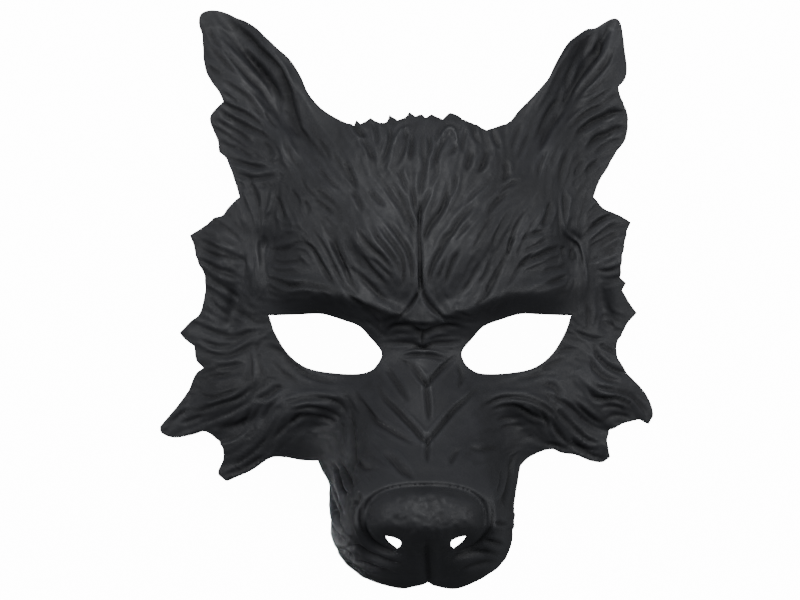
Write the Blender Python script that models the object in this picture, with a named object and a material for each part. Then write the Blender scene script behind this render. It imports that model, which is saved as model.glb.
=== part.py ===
"""A werewolf half mask, moulded in one piece: forehead, ears, cheek ruff and muzzle.

The mask lies on its back with the face up. X runs across the face, Y from the
muzzle up to the ears, and Z from the rim up towards the viewer. The origin is
on the surface the mask rests on, below the middle of its box.

The tables below give places as they look from straight in front of the mask.
Across is in parts of MASK_WIDTH and up in parts of MASK_HEIGHT, both from the
point between the brows. Heights are shares of MASK_DEPTH. The shell draws in
towards VIEW_DISTANCE as it rises, so it leaves its mould.
"""
import math

import bpy
import numpy as np
from mathutils import Vector
from mathutils.geometry import delaunay_2d_cdt

# Sizes in metres
MASK_WIDTH = 0.222
MASK_HEIGHT = 0.261
MASK_DEPTH = 0.122
WALL = 0.0022
VIEW_DISTANCE = 0.600
EYE_LENGTH = 0.0504
EYE_HEIGHT = 0.0275
EYE_GAP = 0.0360
EYE_DROP = 0.0198
NOSE_WIDTH = 0.0560
NOSE_HEIGHT = 0.0300
NOSE_DROP = 0.0972
NOSE_RISE = 0.0075
NOSTRIL_WIDTH = 0.0080
NOSTRIL_HEIGHT = 0.0060
NOSTRIL_GAP = 0.0220
OUTER_STEP = 0.0044
INNER_STEP = 0.0056

# The width is laid out in 4.93 parts and the height in 5.80
ACROSS = MASK_WIDTH / 4.93
UP = MASK_HEIGHT / 5.80

# The main form, one row for each level: up, height of the middle, then how far
# out and how high the crown's edge, the flank, the foot of the face and the
# ruff are, and the height of the rim
FORM = [
    (3.00, .12, 0.60, .12, 1.15, .11, 1.60, .06, 2.05, .00, .00),
    (2.40, .18, 0.60, .18, 1.10, .16, 1.50, .14, 2.05, .07, .02),
    (1.95, .25, 0.60, .24, 1.05, .21, 1.50, .17, 2.00, .10, .03),
    (1.70, .33, 0.60, .31, 1.05, .26, 1.50, .19, 1.95, .11, .03),
    (1.40, .41, 0.60, .38, 1.10, .32, 1.52, .22, 1.90, .12, .03),
    (1.00, .47, 0.60, .44, 1.15, .37, 1.55, .22, 1.90, .13, .03),
    (0.50, .50, 0.60, .48, 1.18, .39, 1.60, .20, 1.92, .14, .04),
    (0.10, .51, 0.60, .48, 1.18, .38, 1.62, .20, 1.95, .13, .04),
    (-0.20, .46, 0.42, .44, 1.05, .33, 1.60, .21, 1.95, .12, .03),
    (-0.60, .52, 0.34, .47, 0.88, .34, 1.55, .22, 1.98, .12, .01),
    (-1.00, .60, 0.42, .55, 0.84, .37, 1.45, .25, 1.98, .12, .00),
    (-1.40, .71, 0.54, .65, 0.86, .38, 1.25, .27, 1.96, .11, .00),
    (-1.70, .82, 0.62, .75, 0.90, .38, 1.15, .26, 1.90, .10, .00),
    (-2.00, .91, 0.68, .83, 0.92, .42, 1.10, .26, 1.90, .10, .00),
    (-2.24, .93, 0.68, .84, 0.91, .50, 1.10, .26, 1.90, .10, .00),
    (-2.46, .85, 0.64, .77, 0.88, .56, 1.10, .26, 1.90, .10, .00),
    (-2.70, .78, 0.58, .72, 0.82, .58, 1.10, .26, 1.90, .10, .00),
    (-3.00, .69, 0.50, .65, 0.80, .54, 1.10, .26, 1.90, .10, .00),
]

# How far out the rim's height in the last column is reached
RIM_OUT = 2.42

# Broad swellings and hollows: across, up, half length, half width, turn in
# degrees, rise, and 1 where the left side has it too
SWELLINGS = [
    (0.40, 0.48, 0.52, 0.27, 58, .050, 1),
    (1.08, 0.17, 0.42, 0.12, 6, .060, 1),
    (0.80, 0.55, 0.40, 0.10, 48, -.018, 1),
    (0.98, -0.42, 0.66, 0.33, 6, -.085, 1),
    (1.52, 0.53, 0.13, 0.15, 0, -.035, 1),
    (1.64, 0.35, 0.36, 0.09, 88, .030, 1),
    (1.05, -1.02, 0.40, 0.14, -12, .035, 1),
    (0.86, -1.30, 0.30, 0.13, -60, -.040, 1),
    (1.62, 2.32, 0.62, 0.19, 57, -.085, 1),
    (1.30, 2.20, 0.60, 0.09, 57, .030, 1),
    (1.35, 1.62, 0.20, 0.16, 60, .035, 1),
    (1.85, 1.75, 0.30, 0.10, 80, -.020, 1),
    (0.40, -2.70, 0.34, 0.14, -12, .035, 1),
    (0.74, -2.25, 0.36, 0.10, 86, .025, 1),
    (2.00, 0.45, 0.30, 0.10, 80, .030, 1),
    (1.85, -0.10, 0.30, 0.08, 100, -.030, 1),
    (1.95, -0.95, 0.42, 0.12, 150, .035, 1),
    (1.75, -1.25, 0.40, 0.07, 152, -.025, 1),
]

# Folds: half width, depth (below nought for a ridge), 1 where the left side has
# it too, and the places that the fold runs through
FOLDS = [
    (.06, .028, 0, ((0.00, 1.10), (-0.02, 0.60), (0.00, 0.10))),
    (.06, .018, 0, ((0.02, 1.55), (0.03, 1.35), (0.01, 1.18))),
    (.06, .026, 1, ((0.00, 0.12), (0.09, -0.03), (0.20, -0.19), (0.34, -0.27))),
    (.05, .020, 0, ((-0.34, -0.27), (0.00, -0.31), (0.36, -0.27))),
    (.05, .020, 0, ((-0.36, -0.44), (0.00, -0.45), (0.36, -0.44))),
    (.05, .018, 1, ((0.00, -0.82), (0.10, -0.73), (0.21, -0.62), (0.33, -0.56))),
    (.06, .022, 1, ((0.00, -1.40), (0.12, -1.28), (0.24, -1.13), (0.38, -1.00), (0.55, -0.84))),
    (.04, .014, 0, ((0.00, -0.85), (0.01, -1.00), (0.02, -1.14))),
    (.05, .014, 0, ((0.01, -1.41), (0.01, -1.52), (0.01, -1.64))),
    (.05, .016, 1, ((0.62, -1.00), (0.52, -1.13), (0.40, -1.25), (0.20, -1.39))),
    (.06, .030, 1, ((1.45, 0.22), (1.20, 0.17), (0.90, 0.09), (0.62, -0.03), (0.40, -0.13))),
    (.06, .024, 1, ((1.28, -1.02), (1.01, -0.98), (0.81, -1.01), (0.66, -1.10))),
    (.05, .020, 1, ((1.22, -1.12), (0.98, -1.08), (0.76, -1.14))),
    (.06, .020, 0, ((-0.39, -1.50), (-0.25, -1.66), (-0.12, -1.77))),
    (.06, .016, 1, ((0.72, -1.60), (0.62, -1.64), (0.52, -1.70))),
    (.06, .010, 1, ((0.66, -2.44), (0.46, -2.58), (0.26, -2.66))),
    (.05, .026, 0, ((0.00, -2.38), (0.00, -2.60), (0.02, -2.84))),
    (.07, .019, 1, ((1.60, 2.60), (1.46, 2.38), (1.33, 2.10), (1.20, 1.75), (1.06, 1.50))),
    (.06, .015, 1, ((2.02, 2.72), (1.88, 2.50), (1.60, 2.20), (1.46, 1.98))),
    (.06, .014, 1, ((2.08, 2.58), (1.90, 2.36), (1.70, 2.16))),
    (.06, .018, 1, ((2.04, 2.10), (1.86, 1.98), (1.62, 1.84), (1.42, 1.66))),
    (.06, .018, 1, ((2.04, 1.82), (1.85, 1.78), (1.60, 1.68), (1.42, 1.52))),
    (.06, .018, 1, ((1.98, 1.58), (1.80, 1.52), (1.60, 1.38))),
    (.06, .016, 1, ((0.78, 1.60), (0.66, 1.30), (0.45, 0.95), (0.20, 0.72))),
    (.06, .016, 1, ((0.55, 1.35), (0.36, 1.05), (0.14, 0.80), (0.05, 0.62))),
    (.06, .016, 1, ((0.58, 0.80), (0.40, 0.66), (0.22, 0.40), (0.16, 0.14))),
    (.06, .016, 1, ((0.86, 1.00), (0.74, 0.70), (0.60, 0.40), (0.42, 0.10))),
    (.06, .016, 1, ((1.20, 1.20), (1.05, 0.85), (0.88, 0.52), (0.66, 0.20))),
    (.06, .016, 1, ((1.42, 0.80), (1.30, 0.58), (1.10, 0.40), (0.90, 0.28))),
    (.06, .020, 1, ((2.14, 0.68), (1.95, 0.55), (1.78, 0.50))),
    (.06, .020, 1, ((2.10, 0.30), (1.92, 0.26), (1.74, 0.22))),
    (.06, .020, 1, ((2.16, -0.02), (1.94, -0.08), (1.72, -0.10))),
    (.06, .020, 1, ((2.16, -0.28), (1.92, -0.34), (1.62, -0.42), (1.46, -0.50))),
    (.06, .020, 1, ((2.16, -0.62), (1.90, -0.55), (1.66, -0.60), (1.50, -0.66))),
    (.06, .020, 1, ((2.20, -0.84), (1.98, -0.76), (1.78, -0.66))),
    (.06, .020, 1, ((2.30, -1.04), (2.08, -0.96), (1.84, -0.80))),
    (.06, .022, 1, ((2.38, -1.20), (2.08, -1.10), (1.80, -0.98), (1.56, -0.96))),
    (.06, .020, 1, ((1.92, -1.62), (1.74, -1.42), (1.52, -1.16), (1.40, -1.04))),
    (.06, .018, 1, ((1.60, -1.52), (1.46, -1.32), (1.28, -1.20))),
]

# The outline, going round from the left ear: across, up, and 1 at a sharp point
OUTLINE = [
    (-1.80, 1.03, 1), (-1.85, 1.20, 0), (-1.92, 1.40, 0), (-2.00, 1.48, 1),
    (-2.015, 1.60, 0), (-2.085, 1.77, 0), (-2.07, 1.87, 0), (-1.96, 1.99, 1),
    (-2.00, 2.08, 0), (-2.085, 2.20, 0), (-2.14, 2.32, 0), (-2.16, 2.50, 0),
    (-2.165, 2.65, 0), (-2.195, 2.78, 0), (-2.17, 2.87, 0), (-2.06, 2.90, 0),
    (-1.91, 2.865, 0), (-1.74, 2.77, 0), (-1.57, 2.66, 0), (-1.42, 2.52, 0),
    (-1.29, 2.40, 0), (-1.19, 2.24, 0), (-1.12, 2.08, 0), (-1.01, 1.94, 0),
    (-0.89, 1.85, 0), (-0.74, 1.77, 0), (-0.67, 1.76, 1), (-0.64, 1.80, 1),
    (-0.60, 1.76, 1), (-0.50, 1.82, 1), (-0.41, 1.77, 1), (-0.34, 1.79, 0),
    (-0.31, 1.86, 1), (-0.23, 1.80, 1), (-0.15, 1.83, 0), (-0.11, 1.88, 1),
    (-0.05, 1.84, 1), (0.01, 1.86, 0), (0.05, 1.82, 1), (0.11, 1.86, 1),
    (0.22, 1.81, 1), (0.29, 1.87, 0), (0.37, 1.85, 0), (0.42, 1.80, 1),
    (0.53, 1.77, 0), (0.66, 1.70, 1), (0.81, 1.75, 0), (0.90, 1.79, 0),
    (0.99, 1.90, 0), (1.13, 2.04, 0), (1.28, 2.21, 0), (1.41, 2.38, 0),
    (1.53, 2.55, 0), (1.66, 2.64, 0), (1.79, 2.73, 0), (1.94, 2.815, 0),
    (2.01, 2.79, 0), (2.04, 2.67, 0), (2.06, 2.50, 0), (2.08, 2.32, 0),
    (2.06, 2.21, 0), (1.99, 2.13, 1), (2.02, 2.03, 0), (2.09, 1.84, 0),
    (2.07, 1.62, 0), (1.96, 1.46, 0), (1.88, 1.32, 0), (1.79, 1.17, 0),
    (1.74, 1.03, 1), (1.845, 0.92, 0), (1.98, 0.86, 0), (2.12, 0.78, 1),
    (2.08, 0.69, 0), (2.05, 0.54, 0), (2.02, 0.40, 0), (2.02, 0.22, 1),
    (2.07, 0.17, 1), (2.03, 0.10, 1), (2.10, -0.02, 0), (2.18, -0.13, 1),
    (2.09, -0.23, 0), (2.03, -0.35, 0), (1.98, -0.43, 0), (1.985, -0.58, 1),
    (2.07, -0.72, 0), (2.22, -0.88, 0), (2.30, -0.99, 0), (2.345, -1.15, 0),
    (2.30, -1.24, 1), (2.21, -1.20, 0), (2.06, -1.23, 0), (1.90, -1.30, 1),
    (1.88, -1.43, 0), (1.91, -1.57, 1), (1.84, -1.625, 0), (1.71, -1.61, 0),
    (1.56, -1.55, 0), (1.41, -1.525, 0), (1.29, -1.49, 0), (1.10, -1.57, 0),
    (1.00, -1.66, 1), (0.96, -1.90, 0), (0.935, -2.05, 0), (0.925, -2.20, 0),
    (0.895, -2.42, 0), (0.83, -2.58, 0), (0.70, -2.71, 0), (0.515, -2.82, 0),
    (0.33, -2.89, 0), (0.16, -2.875, 0), (0.03, -2.835, 1), (-0.12, -2.875, 0),
    (-0.21, -2.89, 0), (-0.335, -2.87, 0), (-0.505, -2.82, 0), (-0.66, -2.74, 0),
    (-0.785, -2.63, 0), (-0.865, -2.50, 0), (-0.90, -2.40, 0), (-0.925, -2.20, 0),
    (-0.92, -2.00, 0), (-0.945, -1.82, 0), (-1.03, -1.61, 1), (-1.18, -1.605, 0),
    (-1.35, -1.575, 0), (-1.49, -1.58, 0), (-1.69, -1.70, 0), (-1.87, -1.78, 0),
    (-1.94, -1.81, 1), (-2.01, -1.73, 0), (-1.96, -1.60, 1), (-1.97, -1.47, 0),
    (-2.05, -1.37, 0), (-2.16, -1.315, 0), (-2.29, -1.35, 0), (-2.45, -1.375, 0),
    (-2.57, -1.33, 0), (-2.585, -1.27, 1), (-2.50, -1.17, 0), (-2.40, -1.05, 0),
    (-2.31, -0.92, 0), (-2.23, -0.74, 0), (-2.155, -0.68, 1), (-2.22, -0.61, 0),
    (-2.25, -0.46, 1), (-2.34, -0.39, 0), (-2.39, -0.33, 1), (-2.29, -0.22, 0),
    (-2.195, -0.14, 0), (-2.15, 0.00, 0), (-2.14, 0.20, 0), (-2.21, 0.38, 0),
    (-2.25, 0.53, 0), (-2.29, 0.65, 1), (-2.16, 0.73, 0), (-2.06, 0.82, 1),
    (-1.97, 0.85, 0), (-1.90, 0.94, 0),
]

# An eye hole: along from the inner corner as a share of EYE_LENGTH, up from its
# middle as a share of EYE_HEIGHT, and 1 at a sharp point
EYE_HOLE = [
    (1.00, .475, 1), (.74, .490, 0), (.535, .500, 0), (.357, .41, 0),
    (.196, .295, 0), (.094, .10, 0), (.00, -.115, 0), (.013, -.28, 0),
    (.085, -.434, 0), (.21, -.500, 0), (.437, -.484, 0), (.656, -.40, 0),
    (.82, -.18, 0), (.937, .156, 0),
]

# A nostril: along from the inner end as a share of NOSTRIL_WIDTH, up from the
# nose's middle as a share of NOSTRIL_HEIGHT, and 1 at a sharp point
NOSTRIL = [
    (.97, -1.45, 1), (.54, -1.53, 0), (.05, -1.82, 0), (.00, -2.22, 0),
    (.20, -2.48, 1), (.50, -2.20, 0), (.77, -1.88, 0),
]


def smooth_curve(knots, values, at):
    """Reads a smooth curve through the knots that never overshoots them."""
    span = np.diff(knots)
    slope = np.diff(values) / span
    bend = np.zeros(len(knots))
    same_way = slope[:-1] * slope[1:] > 0
    before = 2 * span[1:] + span[:-1]
    after = span[1:] + 2 * span[:-1]
    inner = np.zeros(len(slope) - 1)
    inner[same_way] = (before + after)[same_way] / (
        before[same_way] / slope[:-1][same_way] + after[same_way] / slope[1:][same_way]
    )
    bend[1:-1] = inner
    at = np.clip(at, knots[0], knots[-1])
    seg = np.clip(np.searchsorted(knots, at) - 1, 0, len(span) - 1)
    t = (at - knots[seg]) / span[seg]
    rise = values[seg] * (1 + 2 * t) * (1 - t) ** 2 + values[seg + 1] * t * t * (3 - 2 * t)
    lean = bend[seg] * t * (1 - t) ** 2 - bend[seg + 1] * t * t * (1 - t)
    return rise + lean * span[seg]


GRID_UP = np.linspace(-3.0, 3.0, 301)
GRID_OUT = np.linspace(0.0, 2.8, 281)


def main_form():
    """The height of the main form over one half of the mask, level by level."""
    rows = np.array(FORM[::-1])
    levels = [smooth_curve(rows[:, 0], rows[:, k], GRID_UP) for k in range(1, 11)]
    middle, edge_out, edge, flank_out, flank, foot_out, foot, ruff_out, ruff, rim = levels
    grid = []
    for i in range(len(GRID_UP)):
        out = [edge_out[i], flank_out[i], foot_out[i], ruff_out[i]]
        high = [edge[i], flank[i], foot[i], ruff[i]]
        knots = [-out[0], 0.0] + out + [RIM_OUT]
        values = [high[0], middle[i]] + high + [rim[i]]
        grid.append(smooth_curve(np.array(knots), np.array(values), GRID_OUT))
    return np.array(grid)


MAIN_FORM = main_form()


def read_grid(grid, across, up):
    """Reads a half grid at any places, left and right alike."""
    i = np.clip((up - GRID_UP[0]) / (GRID_UP[1] - GRID_UP[0]), 0, len(GRID_UP) - 1.001)
    j = np.clip(np.abs(across) / (GRID_OUT[1] - GRID_OUT[0]), 0, len(GRID_OUT) - 1.001)
    row = i.astype(int)
    col = j.astype(int)
    fi = i - row
    fj = j - col
    near = grid[row, col] * (1 - fj) + grid[row, col + 1] * fj
    far = grid[row + 1, col] * (1 - fj) + grid[row + 1, col + 1] * fj
    return near * (1 - fi) + far * fi


def swell(across, up, row, side):
    """One broad swelling or hollow on the right (side 1) or the left (side -1)."""
    middle, level, length, width, turn, rise = row[:6]
    along_x = math.cos(math.radians(turn)) * side
    along_y = math.sin(math.radians(turn))
    dx = across - middle * side
    dy = up - level
    along = (dx * along_x + dy * along_y) / length
    aside = (dy * along_x - dx * along_y) / width
    return rise * np.exp(-(along**2 + aside**2))


def through(places, samples):
    """Points along a smooth curve through a few places."""
    places = np.array(places, dtype=float)
    steps = np.linalg.norm(np.diff(places, axis=0), axis=1)
    at = np.concatenate([[0.0], np.cumsum(steps)])
    first = 2 * places[0] - places[1]
    last = 2 * places[-1] - places[-2]
    padded = np.vstack([first, places, last])
    points = []
    for s in np.linspace(0, at[-1], samples):
        k = min(int(np.searchsorted(at, s, side="right")) - 1, len(places) - 2)
        t = (s - at[k]) / (at[k + 1] - at[k])
        p0, p1, p2, p3 = padded[k:k + 4]
        points.append(
            0.5 * (2 * p1 + (p2 - p0) * t + (2 * p0 - 5 * p1 + 4 * p2 - p3) * t**2
                   + (3 * p1 - p0 - 3 * p2 + p3) * t**3)
        )
    return np.array(points)


def crease(across, up, path, half_width, depth):
    """The cut of one fold: deepest along its middle, running out at both ends."""
    best = np.full(across.shape, 9.0)
    along = np.zeros(across.shape)
    count = len(path) - 1
    for k in range(count):
        ax, ay = path[k]
        bx, by = path[k + 1]
        length = math.hypot(bx - ax, by - ay)
        t = ((across - ax) * (bx - ax) + (up - ay) * (by - ay)) / length**2
        t = np.clip(t, 0, 1)
        away = np.hypot(across - ax - t * (bx - ax), up - ay - t * (by - ay))
        nearer = away < best
        best[nearer] = away[nearer]
        along[nearer] = ((k + t) / count)[nearer]
    fade = np.minimum(1, 5 * np.minimum(along + 0.04, 1.04 - along))
    return -depth * fade * np.exp(-((best / half_width) ** 2))


def nose_pad(across, up):
    """The swollen nose pad with its sharp upper edge, and the dips round the nostrils."""
    x = across * ACROSS / (NOSE_WIDTH / 2)
    y = (up * UP + NOSE_DROP) / (NOSE_HEIGHT / 2)
    edge = (np.abs(x) ** 2.6 + np.abs(y) ** 2.6) ** (1 / 2.6)
    pad = 1 / (1 + np.exp((edge - 0.96) / 0.06)) * (1 - 0.25 * edge**2)
    groove = -0.30 * np.exp(-(((edge - 1.12) / 0.10) ** 2)) * (y > -0.75)
    dip_x = (np.abs(x) - 0.62) / 0.26
    dip_y = (y + 0.78) / 0.34
    dip = -0.75 * np.exp(-(dip_x**2) - dip_y**2)
    return (pad + groove + dip) * NOSE_RISE


def both_sides(row_side):
    return (1, -1) if row_side else (1,)


def broad_height(across, up):
    """Height of the form without its folds."""
    share = read_grid(MAIN_FORM, across, up)
    for row in SWELLINGS:
        for side in both_sides(row[6]):
            share = share + swell(across, up, row, side)
    height = share * MASK_DEPTH + nose_pad(across, up)
    return np.maximum(height, WALL)


def full_height(across, up, spread=0.0):
    """Height of the folded form; spread makes every fold wider."""
    height = broad_height(across, up)
    for half_width, depth, mirrored, places in FOLDS:
        for side in both_sides(mirrored):
            path = through([(x * side, y) for x, y in places], 9)
            wide = half_width + spread
            height = height + crease(across, up, path, wide, depth * MASK_DEPTH)
    return np.maximum(height, WALL)


def in_space(across, up, height):
    """The point in space that is seen at a place on the face."""
    draw = 1 - height / VIEW_DISTANCE
    return np.stack([across * ACROSS * draw, up * UP * draw, height], -1)


def skin_normals(across, up):
    """Directions square to the form, pointing out."""
    d = 0.03
    east = in_space(across + d, up, broad_height(across + d, up))
    west = in_space(across - d, up, broad_height(across - d, up))
    north = in_space(across, up + d, broad_height(across, up + d))
    south = in_space(across, up - d, broad_height(across, up - d))
    normal = np.cross(east - west, north - south)
    return normal / np.linalg.norm(normal, axis=1)[:, None]


def inner_points(across, up):
    """The inner skin, one wall in from the softened form; never below the rim."""
    outer = in_space(across, up, full_height(across, up, 0.5 * INNER_STEP / ACROSS))
    inner = outer - skin_normals(across, up) * WALL
    inner[:, 2] = np.maximum(inner[:, 2], 0)
    return inner


def closed_curve(rows, step):
    """Points along a closed outline: smooth except at the places marked sharp."""
    count = len(rows)
    starts = [k for k in range(count) if rows[k][2]] or [0]
    points = []
    for n, start in enumerate(starts):
        end = starts[(n + 1) % len(starts)]
        span = (end - start) % count or count
        places = [rows[(start + k) % count][:2] for k in range(span + 1)]
        fine = through(places, 12 * span + 1)
        real = fine * [ACROSS, UP]
        length = np.concatenate([[0], np.cumsum(np.linalg.norm(np.diff(real, axis=0), axis=1))])
        pieces = max(1, round(length[-1] / step))
        at = np.linspace(0, length[-1], pieces + 1)[:-1]
        points.extend(zip(np.interp(at, length, fine[:, 0]), np.interp(at, length, fine[:, 1])))
    return np.array(points)


def eye_hole(side):
    rows = []
    for along, high, sharp in EYE_HOLE:
        across = (EYE_GAP / 2 + along * EYE_LENGTH) / ACROSS
        rows.append((across * side, (high * EYE_HEIGHT - EYE_DROP) / UP, sharp))
    return rows


def nostril(side):
    rows = []
    for along, high, sharp in NOSTRIL:
        across = (NOSTRIL_GAP / 2 + along * NOSTRIL_WIDTH) / ACROSS
        rows.append((across * side, (high * NOSTRIL_HEIGHT - NOSE_DROP) / UP, sharp))
    return rows


def unrolled_grid():
    """How far each place is from the middle when its level is rolled out flat."""
    out = GRID_OUT * ACROSS
    rise = np.diff(MAIN_FORM * MASK_DEPTH, axis=1)
    run = np.hypot(rise, np.diff(out)[None, :])
    return np.concatenate([np.zeros((len(GRID_UP), 1)), np.cumsum(run, axis=1)], axis=1)


UNROLLED = unrolled_grid()


def roll_out(across, up):
    flat = read_grid(UNROLLED, across, up) * np.sign(across)
    return np.stack([flat, up * UP], -1)


def roll_back(flat):
    """The place on the face of each rolled-out point."""
    up = flat[:, 1] / UP
    across = np.zeros(len(flat))
    rows = np.clip(np.searchsorted(GRID_UP, up), 0, len(GRID_UP) - 1)
    for row in np.unique(rows):
        here = rows == row
        reach = np.interp(np.abs(flat[here, 0]), UNROLLED[row], GRID_OUT)
        across[here] = reach * np.sign(flat[here, 0])
    return across, up


def inside(points, loop):
    """Which points lie inside a closed loop."""
    x, y = points[:, 0], points[:, 1]
    found = np.zeros(len(points), dtype=bool)
    for (ax, ay), (bx, by) in zip(loop, np.roll(loop, -1, axis=0)):
        crosses = (ay > y) != (by > y)
        at = ax + (y - ay) / np.where(by == ay, 1, by - ay) * (bx - ax)
        found ^= crosses & (x < at)
    return found


def clear_of(points, others, gap):
    """Which points lie at least a gap away from all the others."""
    keep = np.ones(len(points), dtype=bool)
    for other in others:
        keep &= np.hypot(points[:, 0] - other[0], points[:, 1] - other[1]) > gap
    return keep


def fold_points(step):
    """Points along each fold and on both its banks, so that the mesh follows it."""
    points = []
    for half_width, depth, mirrored, places in FOLDS:
        for side in both_sides(mirrored):
            path = through([(x * side, y) for x, y in places], 30)
            flat = roll_out(path[:, 0], path[:, 1])
            length = np.concatenate([[0], np.cumsum(np.linalg.norm(np.diff(flat, axis=0), axis=1))])
            count = max(2, round(length[-1] / step))
            at = np.linspace(0.1, 0.9, count) * length[-1]
            points.extend(zip(np.interp(at, length, flat[:, 0]), np.interp(at, length, flat[:, 1])))
    return np.array(points)


def nose_points(step):
    """Points along the nose pad's edge and the groove round it, above the nostrils."""
    points = []
    turn = np.linspace(-0.3, math.pi + 0.3, max(6, round((NOSE_WIDTH + NOSE_HEIGHT) / step)))
    for size in (0.96, 1.12):
        x = np.sign(np.cos(turn)) * np.abs(np.cos(turn)) ** (2 / 2.6) * size * NOSE_WIDTH / 2
        y = np.sign(np.sin(turn)) * np.abs(np.sin(turn)) ** (2 / 2.6) * size * NOSE_HEIGHT / 2
        points.extend(roll_out(x / ACROSS, (y - NOSE_DROP) / UP))
    return points


def lay_points(loops, step, along_folds):
    """Places inside the outline and outside the holes, about one step apart."""
    rolled = [roll_out(loop[:, 0], loop[:, 1]) for loop in loops]
    low = rolled[0].min(axis=0)
    high = rolled[0].max(axis=0)
    rows = np.arange(low[1], high[1], step * 0.866)
    lattice = []
    for n, y in enumerate(rows):
        xs = np.arange(low[0] + step * 0.5 * (n % 2), high[0], step)
        lattice.extend((x, y) for x in xs)
    lattice = np.array(lattice)
    if along_folds:
        kept = nose_points(step)
        for point in fold_points(step):
            if np.min(np.linalg.norm(np.array(kept) - point, axis=1)) > 0.55 * step:
                kept.append(point)
        lattice = lattice[clear_of(lattice, kept, 0.62 * step)]
        lattice = np.vstack([kept, lattice])
    keep = inside(lattice, rolled[0])
    for hole in rolled[1:]:
        keep &= ~inside(lattice, hole)
    lattice = lattice[keep]
    return lattice[clear_of(lattice, np.vstack(rolled), 0.62 * step)]


def triangles(loops, flat):
    """Joins the loops and the inner points into triangles that follow the loops."""
    rolled = np.vstack([roll_out(loop[:, 0], loop[:, 1]) for loop in loops] + [flat])
    edges = []
    start = 0
    for loop in loops:
        count = len(loop)
        edges.extend((start + k, start + (k + 1) % count) for k in range(count))
        start += count
    points = [Vector(p) for p in rolled]
    _, _, faces, origins, _, _ = delaunay_2d_cdt(points, edges, [], 0, 1e-9)
    back = [group[0] for group in origins]
    found = np.array([[back[v] for v in face] for face in faces])
    middles = rolled[found].mean(axis=1)
    keep = inside(middles, rolled[:len(loops[0])])
    start = len(loops[0])
    for loop in loops[1:]:
        keep &= ~inside(middles, rolled[start:start + len(loop)])
        start += len(loop)
    found = found[keep]
    a, b, c = rolled[found[:, 0]], rolled[found[:, 1]], rolled[found[:, 2]]
    turned = (b - a)[:, 0] * (c - a)[:, 1] - (b - a)[:, 1] * (c - a)[:, 0] < 0
    found[turned] = found[turned][:, ::-1]
    return found


def mask_mesh():
    """The closed shell: the outer skin, the inner skin and the rims between them."""
    loops = [closed_curve(OUTLINE, OUTER_STEP)]
    loops += [closed_curve(eye_hole(side), OUTER_STEP) for side in (1, -1)]
    loops += [closed_curve(nostril(side), OUTER_STEP * 0.6) for side in (1, -1)]
    border = np.vstack(loops)
    outer_flat = lay_points(loops, OUTER_STEP, True)
    inner_flat = lay_points(loops, INNER_STEP, False)
    outer_faces = triangles(loops, outer_flat)
    inner_faces = triangles(loops, inner_flat)
    outer_places = np.vstack([border, np.stack(roll_back(outer_flat), -1)])
    inner_places = np.vstack([border, np.stack(roll_back(inner_flat), -1)])
    high = full_height(outer_places[:, 0], outer_places[:, 1])
    outer = in_space(outer_places[:, 0], outer_places[:, 1], high)
    inner = inner_points(inner_places[:, 0], inner_places[:, 1])
    points = np.vstack([outer, inner])
    shift = len(outer)
    faces = [tuple(face) for face in outer_faces]
    faces += [tuple(face[::-1] + shift) for face in inner_faces]
    start = 0
    for n, loop in enumerate(loops):
        count = len(loop)
        area = np.sum(loop[:, 0] * np.roll(loop[:, 1], -1) - np.roll(loop[:, 0], -1) * loop[:, 1])
        for k in range(count):
            a = start + k
            b = start + (k + 1) % count
            if (area > 0) == (n == 0):
                faces += [(a, a + shift, b), (b, a + shift, b + shift)]
            else:
                faces += [(a, b, a + shift), (b, b + shift, a + shift)]
        start += count
    mesh = bpy.data.meshes.new("mask_shell")
    mesh.from_pydata([tuple(p) for p in points], [], [tuple(int(v) for v in f) for f in faces])
    mesh.validate()
    mesh.shade_smooth()
    mesh.set_sharp_from_angle(angle=math.radians(60))
    return mesh


def black_plastic():
    material = bpy.data.materials.new("black_plastic")
    material.use_nodes = True
    shader = material.node_tree.nodes["Principled BSDF"]
    shader.inputs["Base Color"].default_value = (0.014, 0.014, 0.016, 1)
    shader.inputs["Roughness"].default_value = 0.5
    shader.inputs["Metallic"].default_value = 0.0
    return material


for old in list(bpy.data.objects):
    bpy.data.objects.remove(old)

shell = bpy.data.objects.new("mask_shell", mask_mesh())
bpy.context.collection.objects.link(shell)
shell.data.materials.append(black_plastic())
low = np.min([v.co for v in shell.data.vertices], axis=0)
high = np.max([v.co for v in shell.data.vertices], axis=0)
middle = (low + high) / 2
shell.location = (-middle[0], -middle[1], -low[2])
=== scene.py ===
"""The looks of a black werewolf half mask, made to stand for its CAD model.

The shell is modelled again, finely, on nearly the same form as the CAD, with
every groove of the moulded fur. It lies on a pale floor, face up, and the
camera looks straight down at it.

Places on the face are across, in parts of MASK_WIDTH, and up, in parts of
MASK_HEIGHT, from the point between the brows. Heights are shares of
MASK_DEPTH. The grooves are given where the camera sees them, in hundredths of
a part to the right of and down from the picture's top left corner.
"""
import math

import bpy
import numpy as np
from mathutils import Matrix, Vector
from mathutils.geometry import delaunay_2d_cdt


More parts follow.
